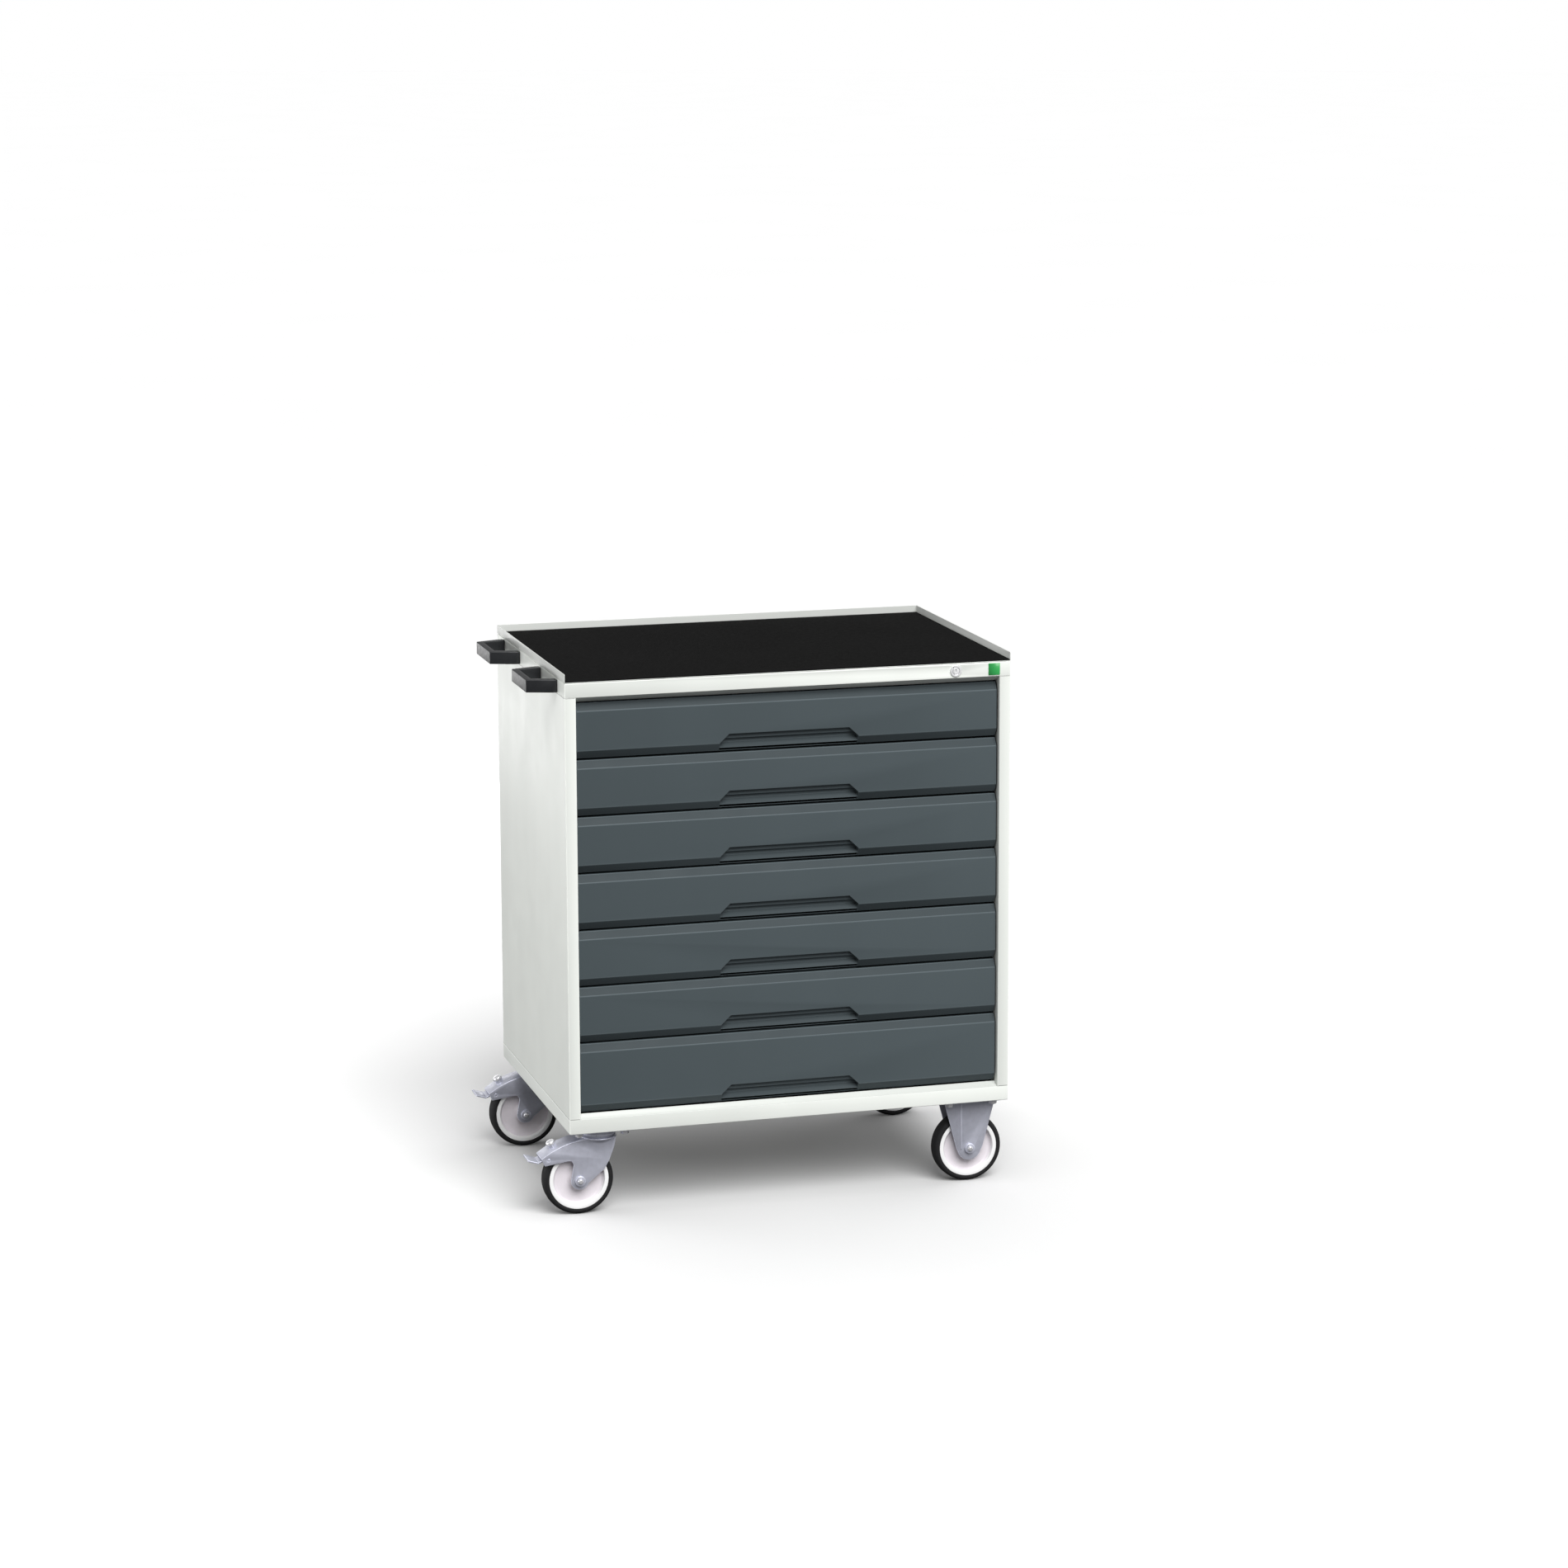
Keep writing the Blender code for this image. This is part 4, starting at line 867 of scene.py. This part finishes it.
# ---- Operators ----
class CABINET_OT_housing(bpy.types.Operator):
    """Rounds the folds of the housing's panels, cover, tray and base"""

    bl_idname = "cabinet.housing"
    bl_label = "Housing"

    def execute(self, context):
        sizes = context.scene.cabinet_sheet
        own_paint = {"top_tray": "tray_shaded_paint", **dict.fromkeys(PANELS, "panel_paint")}
        for node in HOUSING:
            finish = own_paint.get(node, "housing_paint")
            rounded_piece(node, finish, sizes.fold)
        return {"FINISHED"}


class CABINET_OT_mat(bpy.types.Operator):
    """Lays the ribbed rubber mat in the tray"""

    bl_idname = "cabinet.mat"
    bl_label = "Ribbed mat"

    def execute(self, context):
        sizes = context.scene.cabinet_mat
        low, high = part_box("top_mat")
        thickness = high.z - low.z
        mesh = rib_tree().mesh(
            "ribbed_mat",
            Width=high.x - low.x,
            Depth=high.y - low.y,
            Slab=thickness - sizes.rib_radius,
            Pitch=sizes.pitch,
            Rib_radius=sizes.rib_radius,
            Top=thickness,
            Middle=((low.x + high.x) / 2, (low.y + high.y) / 2, low.z),
        )
        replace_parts(piece("ribbed_mat", mesh, "mat_rubber", "cabinet"), "top_mat")
        return {"FINISHED"}


class CABINET_OT_drawers(bpy.types.Operator):
    """Rounds the folds of each drawer's front and tray"""

    bl_idname = "cabinet.drawers"
    bl_label = "Drawers"

    def execute(self, context):
        sizes = context.scene.cabinet_sheet
        for number in DRAWERS:
            rounded_piece(f"drawer_front_{number}", "drawer_paint", sizes.front_fold)
            rounded_piece(f"drawer_tray_{number}", "drawer_paint", sizes.front_fold)
        return {"FINISHED"}


class CABINET_OT_slides(bpy.types.Operator):
    """Rounds the folds of the slides and their frames"""

    bl_idname = "cabinet.slides"
    bl_label = "Slides"

    def execute(self, context):
        sizes = context.scene.cabinet_sheet
        for side in SIDES:
            rounded_piece(f"{side}_runner_frame", "slide_steel", sizes.front_fold)
            for number in DRAWERS:
                rounded_piece(f"slide_middle_{number}_{side}", "slide_steel", sizes.front_fold)
        return {"FINISHED"}


class CABINET_OT_handles(bpy.types.Operator):
    """Rounds the edges of the two push handles"""

    bl_idname = "cabinet.handles"
    bl_label = "Push handles"

    def execute(self, context):
        sizes = context.scene.cabinet_sheet
        for place in ("front", "rear"):
            rounded_piece(f"{place}_push_handle", "handle_plastic", sizes.handle_edge, segments=4)
        return {"FINISHED"}


class CABINET_OT_lock(bpy.types.Operator):
    """Finishes the lock, its bar and the badge"""

    bl_idname = "cabinet.lock"
    bl_label = "Lock and badge"

    def execute(self, context):
        sizes = context.scene.cabinet_sheet
        rounded_piece("lock_barrel", "lock_chrome", sizes.steel_edge, segments=3)
        rounded_piece("lock_plug", "lock_chrome", sizes.steel_edge / 2)
        rounded_piece("lock_bar", "zinc_steel", sizes.steel_edge)
        rounded_piece("badge_plate", "badge_green", sizes.steel_edge)
        keyhole()
        index_mark()
        return {"FINISHED"}


def keyhole():
    """A black block at the bottom of the shallow key slot, as painted shade for the deep keyway."""
    wide, deep, tall = KEYWAY_SHADE_SIZE
    bm = bmesh.new()
    bmesh.ops.create_cube(bm, size=1, matrix=Matrix.Diagonal((wide, deep, tall, 1)))
    bmesh.ops.bevel(bm, geom=bm.edges[:], offset=wide / 6, segments=2, affect="EDGES")
    middle = middle_of("lock_plug")
    at = (middle.x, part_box("lock_plug")[0].y + KEY_SLOT_DEPTH - deep / 2, middle.z)
    bmesh.ops.translate(bm, verts=bm.verts, vec=at)
    mesh = mesh_of(bm, "keyway_shade")
    piece(mesh.name, mesh, "recess_shade_black", body_of("lock_plug"))


def index_mark():
    """The dark dot on the lock's flange that the plug turns against, as painted shade for the mark's small
    recess.
    """
    middle = middle_of("lock_barrel")
    out, up = MARK_RADIUS * cos(MARK_ANGLE), MARK_RADIUS * sin(MARK_ANGLE)
    profile = [
        (0, -MARK_RISE),
        (MARK_SIZE * MARK_FLAT, -MARK_RISE),
        (MARK_SIZE, 0),
        (MARK_SIZE, MARK_RISE),
        (0, MARK_RISE),
    ]
    at = (middle.x + out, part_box("lock_barrel")[0].y, middle.z + up)
    mesh = turned_mesh("lock_index_mark", profile, at, ("recess_shade_black",), steps=20)
    piece(mesh.name, mesh, "recess_shade_black", body_of("lock_barrel"))


class CABINET_OT_castors(bpy.types.Operator):
    """Finishes the castors' plates, forks, brackets and pedals"""

    bl_idname = "cabinet.castors"
    bl_label = "Castor frames"

    def execute(self, context):
        sizes = context.scene.cabinet_sheet
        for name in LEFT_CASTORS:
            for part in ("swivel_plate", "fork", "brake_pedal"):
                rounded_piece(f"{part}_{name}", "zinc_steel", sizes.steel_edge)
            brake_nut_cap(name)
        for name in RIGHT_CASTORS:
            rounded_piece(f"bracket_{name}", "zinc_steel", sizes.steel_edge)
            for word, side in ENDS:
                bead(name, word, side)
        return {"FINISHED"}


def brake_nut_cap(name):
    """The bright dome on the nut that holds the brake's spring."""
    wheel = middle_of(f"tyre_{name}")
    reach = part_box(f"tyre_{name}")[1].z / 2 + BRAKE_NUT_LIFT
    middle = wheel + Vector((reach * cos(BRAKE_NUT_ANGLE), 0, reach * sin(BRAKE_NUT_ANGLE)))
    axis = Vector((-sin(ARM_SLOPE), 0, cos(ARM_SLOPE)))
    radius, rise = BRAKE_CAP
    shoulders = [(radius * out, rise * up) for out, up in BRAKE_CAP_SHOULDERS]
    dome = [(0, rise), *shoulders, (radius, 0)]
    profile = fillet(dome, radius / 4) + [(radius, -BRAKE_CAP_SKIRT), (0, -BRAKE_CAP_SKIRT)]
    mesh = turned_mesh(f"brake_nut_cap_{name}", profile, (0, 0, 0), ("bright_nut",), steps=36)
    turn = Vector((0, 1, 0)).rotation_difference(axis).to_matrix().to_4x4()
    mesh.transform(Matrix.Translation(middle + axis * BRAKE_NUT_HALF) @ turn)
    piece(mesh.name, mesh, "bright_nut", body_of(f"fork_{name}"))


def bead(name, word, side):
    """A half-round bead pressed out of a bracket's cheek, from the plate down to the axle."""
    wheel = middle_of(f"wheel_{name}")
    face = wheel.y + side * CHEEK_FACE
    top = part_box(f"bracket_{name}")[1].z - PLATE_THICKNESS - BEAD_TOP_MARGIN
    bm = bmesh.new()
    bmesh.ops.create_uvsphere(bm, u_segments=BEAD_STEPS, v_segments=BEAD_ROWS, radius=1)
    for vert in bm.verts:
        end = top if vert.co.z > MERGE else wheel.z
        vert.co = (
            wheel.x - BEAD_OFFSET + vert.co.x * BEAD_HALF_WIDTH,
            face + vert.co.y * BEAD_RISE,
            end + vert.co.z * BEAD_HALF_WIDTH,
        )
    for part in bm.faces:
        part.smooth = True
    mesh = mesh_of(bm, f"bracket_bead_{name}_{word}")
    piece(mesh.name, mesh, "zinc_steel", body_of(f"bracket_{name}"))


class CABINET_OT_wheels(bpy.types.Operator):
    """Turns each wheel's rim, disc and hub, and its tyre"""

    bl_idname = "cabinet.wheels"
    bl_label = "Wheels"

    def execute(self, context):
        for name in CASTORS:
            low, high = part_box(f"wheel_{name}")
            centre = middle_of(f"wheel_{name}")
            rim = (high.z - low.z) / 2
            half_hub = (high.y - low.y) / 2
            mesh = turned_mesh(
                f"wheel_{name}_finished",
                rim_profile(rim, half_hub),
                centre,
                ("disc_plastic", "rim_plastic"),
                bands=(rim - RING_DEPTH - RING_ROUNDING,),
                closed=True,
            )
            wheel = piece(mesh.name, mesh, "rim_plastic", f"wheel_{name}")
            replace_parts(wheel, f"wheel_{name}")
            low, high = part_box(f"tyre_{name}")
            profile = tyre_profile((high.z - low.z) / 2, rim + TYRE_SEAT, (high.y - low.y) / 2)
            mesh = turned_mesh(f"tyre_{name}_finished", profile, centre, ("tyre_rubber",), closed=True)
            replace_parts(piece(mesh.name, mesh, "tyre_rubber", f"wheel_{name}"), f"tyre_{name}")
        return {"FINISHED"}


def rim_profile(rim, half_hub):
    """The rim's ring, the dished disc and the hub, round one side and back round the other."""
    ring = rim - RING_DEPTH
    side = [
        (HUB_BORE, 0),
        (HUB_BORE, half_hub),
        (HUB_RADIUS, half_hub),
        (HUB_RADIUS + HUB_FLARE[0], DISC_HALF_WIDTH + HUB_FLARE[1]),
        (HUB_RADIUS + HUB_FOOT, DISC_HALF_WIDTH),
        (ring - DISH_EDGE, DISC_HALF_WIDTH),
        (ring - DISH_RISE[0], DISC_HALF_WIDTH + DISH_RISE[1]),
        (ring, RING_HALF_WIDTH),
        (rim, RING_HALF_WIDTH),
        (rim, 0),
    ]
    return both_sides(fillet(side, RING_ROUNDING))


def both_sides(side):
    """A closed profile from the half on one side of the wheel's middle."""
    return side[:-1] + [(radius, -along) for radius, along in reversed(side)][:-1]


def tyre_profile(tread, seat, half_width):
    """The tyre, with a slightly crowned tread and round shoulders."""
    side = [
        (seat, 0),
        (seat, half_width),
        (tread - TYRE_SIDE, half_width),
        (tread - TYRE_SHOULDER[0], half_width - TYRE_SHOULDER[1]),
        (tread, 0),
    ]
    return both_sides(fillet(side, TYRE_ROUNDING, 4))


class CABINET_OT_fasteners(bpy.types.Operator):
    """Adds the castor bolts, the rivets and the axle caps"""

    bl_idname = "cabinet.fasteners"
    bl_label = "Fasteners"

    def execute(self, context):
        sizes = context.scene.cabinet_fasteners
        plate_bolts(sizes)
        rear_rivets(sizes)
        slide_rivets(sizes)
        axle_caps()
        return {"FINISHED"}


def plate_bolts(sizes):
    """Four bolts under each castor's plate."""
    bolts = bolt_tree()
    plates = [f"swivel_plate_{name}" for name in LEFT_CASTORS]
    plates += [f"bracket_{name}" for name in RIGHT_CASTORS]
    for node in plates:
        low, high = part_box(node)
        mesh = bolts.mesh(
            f"{node}_bolts",
            Across=high.x - low.x - 2 * BOLT_INSET_ACROSS,
            Along=high.y - low.y - 2 * BOLT_INSET_ALONG,
            Head=sizes.bolt,
            Middle=((low.x + high.x) / 2, (low.y + high.y) / 2, high.z - PLATE_THICKNESS),
        )
        piece(mesh.name, mesh, "bright_nut", "cabinet")


def rear_rivets(sizes):
    """A row of rivets down each edge of the rear panel."""
    low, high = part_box("rear_panel")
    mesh = rivet_tree("rear_rivets", "housing_paint").mesh(
        "rear_panel_rivets",
        Across=high.x - low.x - 2 * REAR_RIVET_INSET,
        Along=high.z - low.z - 2 * REAR_RIVET_MARGIN,
        Columns=2,
        Rows=sizes.rear_rivets,
        Head=sizes.rivet,
        Height=REAR_RIVET_RISE,
        Middle=((low.x + high.x) / 2, high.y, (low.z + high.z) / 2),
        Turn=(pi / 2, 0, 0),
    )
    piece(mesh.name, mesh, "housing_paint", "cabinet")


def slide_rivets(sizes):
    """The rivets that hold a slide to the left wall of each drawer."""
    rivets = rivet_tree("slide_rivets", "slide_steel")
    for number in DRAWERS:
        low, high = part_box(f"drawer_tray_{number}")
        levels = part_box(f"slide_middle_{number}_left")
        mesh = rivets.mesh(
            f"slide_rivets_{number}",
            Across=high.y - low.y - 2 * SLIDE_RIVET_MARGIN,
            Along=0.0,
            Columns=SLIDE_RIVETS,
            Rows=1,
            Head=sizes.rivet,
            Height=SLIDE_RIVET_RISE,
            Middle=(low.x + SLIDE_WALL, (low.y + high.y) / 2, (levels[0].z + levels[1].z) / 2),
            Turn=(0, 0, pi / 2),
        )
        piece(mesh.name, mesh, "slide_steel", f"drawer_{number}")


def axle_caps():
    """A domed cap on each end of every axle."""
    for name in CASTORS:
        holder = f"fork_{name}" if name in LEFT_CASTORS else f"bracket_{name}"
        centre = middle_of(f"wheel_{name}")
        for word, side in ENDS:
            cap = [(radius, side * along) for radius, along in cap_profile()]
            at = Vector((centre.x, centre.y + side * AXLE_NUT_FACE, centre.z))
            mesh = turned_mesh(f"axle_cap_{name}_{word}", cap, at, ("bright_nut",), steps=32)
            piece(mesh.name, mesh, "bright_nut", body_of(holder))


def cap_profile():
    """The dome of an axle nut, closed below by a flat face inside the nut."""
    out, up = CAP_SHOULDER
    dome = [(0, CAP_RISE), (CAP_RADIUS * out, CAP_RISE * up), (CAP_RADIUS, 0)]
    return fillet(dome, CAP_RADIUS / 5) + [(CAP_RADIUS, -CAP_RISE / 3), (0, -CAP_RISE / 3)]


class CABINET_OT_studio(bpy.types.Operator):
    """Sets the floor, the lights and the camera"""

    bl_idname = "cabinet.studio"
    bl_label = "Studio"

    def execute(self, context):
        values = context.scene.cabinet_studio
        floor_plane(values)
        surround(values)
        soft_lights(values)
        camera(values)
        return {"FINISHED"}


def floor_plane(values):
    """A wide pale floor, with a painted shadow where the cabinet stands close by."""
    bm = bmesh.new()
    bmesh.ops.create_circle(bm, cap_ends=True, segments=64, radius=FLOOR_RADIUS)
    mesh = mesh_of(bm, "floor")
    floor = linked("floor", mesh)
    paint = Finish("floor_paint", values.floor, 0.8, specular=0.1)
    paint.tint(paint.noise(FLOOR_CLOUD, 2.0), 0.995, 1.005)
    # Painted shadow on the floor under and around the cabinet.
    paint.shaded(FLOOR_SHADE_REACH, FLOOR_SHADE)
    mesh.materials.append(seen_only(paint).material)


def seen_only(paint):
    """The floor looks pale, but throws little light back, so that what faces down stays dark."""
    dark = paint.tree.nodes.new("ShaderNodeBsdfDiffuse")
    dark.inputs["Color"].default_value = (FLOOR_BOUNCE,) * 3 + (1,)
    to_camera(paint.tree, paint.shader.outputs["BSDF"], dark.outputs["BSDF"], "Material Output")
    return paint


def to_camera(tree, shown, otherwise, output):
    """Shows one shader to the camera, and lets everything else meet the other."""
    rays = tree.nodes.new("ShaderNodeLightPath")
    either = tree.nodes.new("ShaderNodeMixShader")
    tree.links.new(rays.outputs["Is Camera Ray"], either.inputs["Fac"])
    tree.links.new(otherwise, either.inputs[1])
    tree.links.new(shown, either.inputs[2])
    tree.links.new(either.outputs["Shader"], tree.nodes[output].inputs["Surface"])


def surround(values):
    """Even light all round, in front of a white backdrop."""
    world = bpy.data.worlds.new("surround")
    world.use_nodes = True
    tree = world.node_tree
    light = tree.nodes["Background"]
    light.inputs["Color"].default_value = (1, 1, 1, 1)
    light.inputs["Strength"].default_value = values.surround
    backdrop = tree.nodes.new("ShaderNodeBackground")
    backdrop.inputs["Color"].default_value = (1, 1, 1, 1)
    to_camera(tree, backdrop.outputs["Background"], light.outputs["Background"], "World Output")
    bpy.context.scene.world = world
    bpy.context.scene.view_settings.view_transform = "Standard"


def light(name, kind, place, aim, power):
    """A light, turned towards its aim, that the camera doesn't see."""
    data = bpy.data.lights.new(name, kind)
    data.energy = power
    lamp = linked(name, data)
    lamp.location = place
    lamp.rotation_euler = (Vector(aim) - Vector(place)).to_track_quat("-Z", "Y").to_euler()
    lamp.visible_camera = False
    return data


def card_light(name, place, aim, power, size):
    """A soft rectangular light."""
    card = light(name, "AREA", place, aim, power)
    card.shape = "RECTANGLE"
    card.size, card.size_y = size


def soft_lights(values):
    """A broad key above the front, a low card on each side and one behind."""
    key = light("key_light", "SUN", KEY_PLACE, KEY_AIM, values.key)
    key.angle = KEY_ANGLE
    out, back, up = SIDE_CARD_PLACE
    for side, share in SIDE_CARDS:
        place = (side * out, back, up)
        card_light(f"side_card_{side}", place, SIDE_CARD_AIM, values.card * share, SIDE_CARD_SIZE)
    power = values.card * REAR_CARD_SHARE
    card_light("rear_card", REAR_CARD_PLACE, REAR_CARD_AIM, power, REAR_CARD_SIZE)


def camera(values):
    """The camera, to the left of the front and above what it looks at."""
    data = bpy.data.cameras.new("camera")
    data.lens = values.lens
    data.sensor_width = SENSOR
    data.shift_x, data.shift_y = SHIFT
    obj = linked("camera", data)
    level = cos(values.drop)
    ahead = Vector((sin(values.bearing) * level, cos(values.bearing) * level, -sin(values.drop)))
    obj.location = Vector(LOOK_AT) - ahead * values.distance
    obj.rotation_euler = ahead.to_track_quat("-Z", "Y").to_euler()
    bpy.context.scene.camera = obj


# ---- Panel and registration ----
STEPS = (
    CABINET_OT_housing,
    CABINET_OT_mat,
    CABINET_OT_drawers,
    CABINET_OT_slides,
    CABINET_OT_handles,
    CABINET_OT_lock,
    CABINET_OT_castors,
    CABINET_OT_wheels,
    CABINET_OT_fasteners,
    CABINET_OT_studio,
)


class CABINET_PT_panel(bpy.types.Panel):
    """Lists the cabinet's pieces"""

    bl_idname = "CABINET_PT_panel"
    bl_label = "Mobile drawer cabinet"
    bl_space_type = "VIEW_3D"
    bl_region_type = "UI"
    bl_category = "Cabinet"

    def draw(self, context):
        for key, group in GROUPS.items():
            box = self.layout.box()
            for name in group.__annotations__:
                box.prop(getattr(context.scene, key), name)
        for step in STEPS:
            self.layout.operator(step.bl_idname)


CLASSES = (*GROUPS.values(), *STEPS, CABINET_PT_panel)


def register():
    for cls in CLASSES:
        bpy.utils.register_class(cls)
    for key, group in GROUPS.items():
        setattr(bpy.types.Scene, key, bpy.props.PointerProperty(type=group))


def unregister():
    for key in GROUPS:
        delattr(bpy.types.Scene, key)
    for cls in reversed(CLASSES):
        bpy.utils.unregister_class(cls)


def main():
    register()
    FINISHES.update(make_finishes(bpy.context.scene.cabinet_colours))
    for step in STEPS:
        group, name = step.bl_idname.split(".")
        getattr(getattr(bpy.ops, group), name)()


if __name__ == "__main__":
    main()
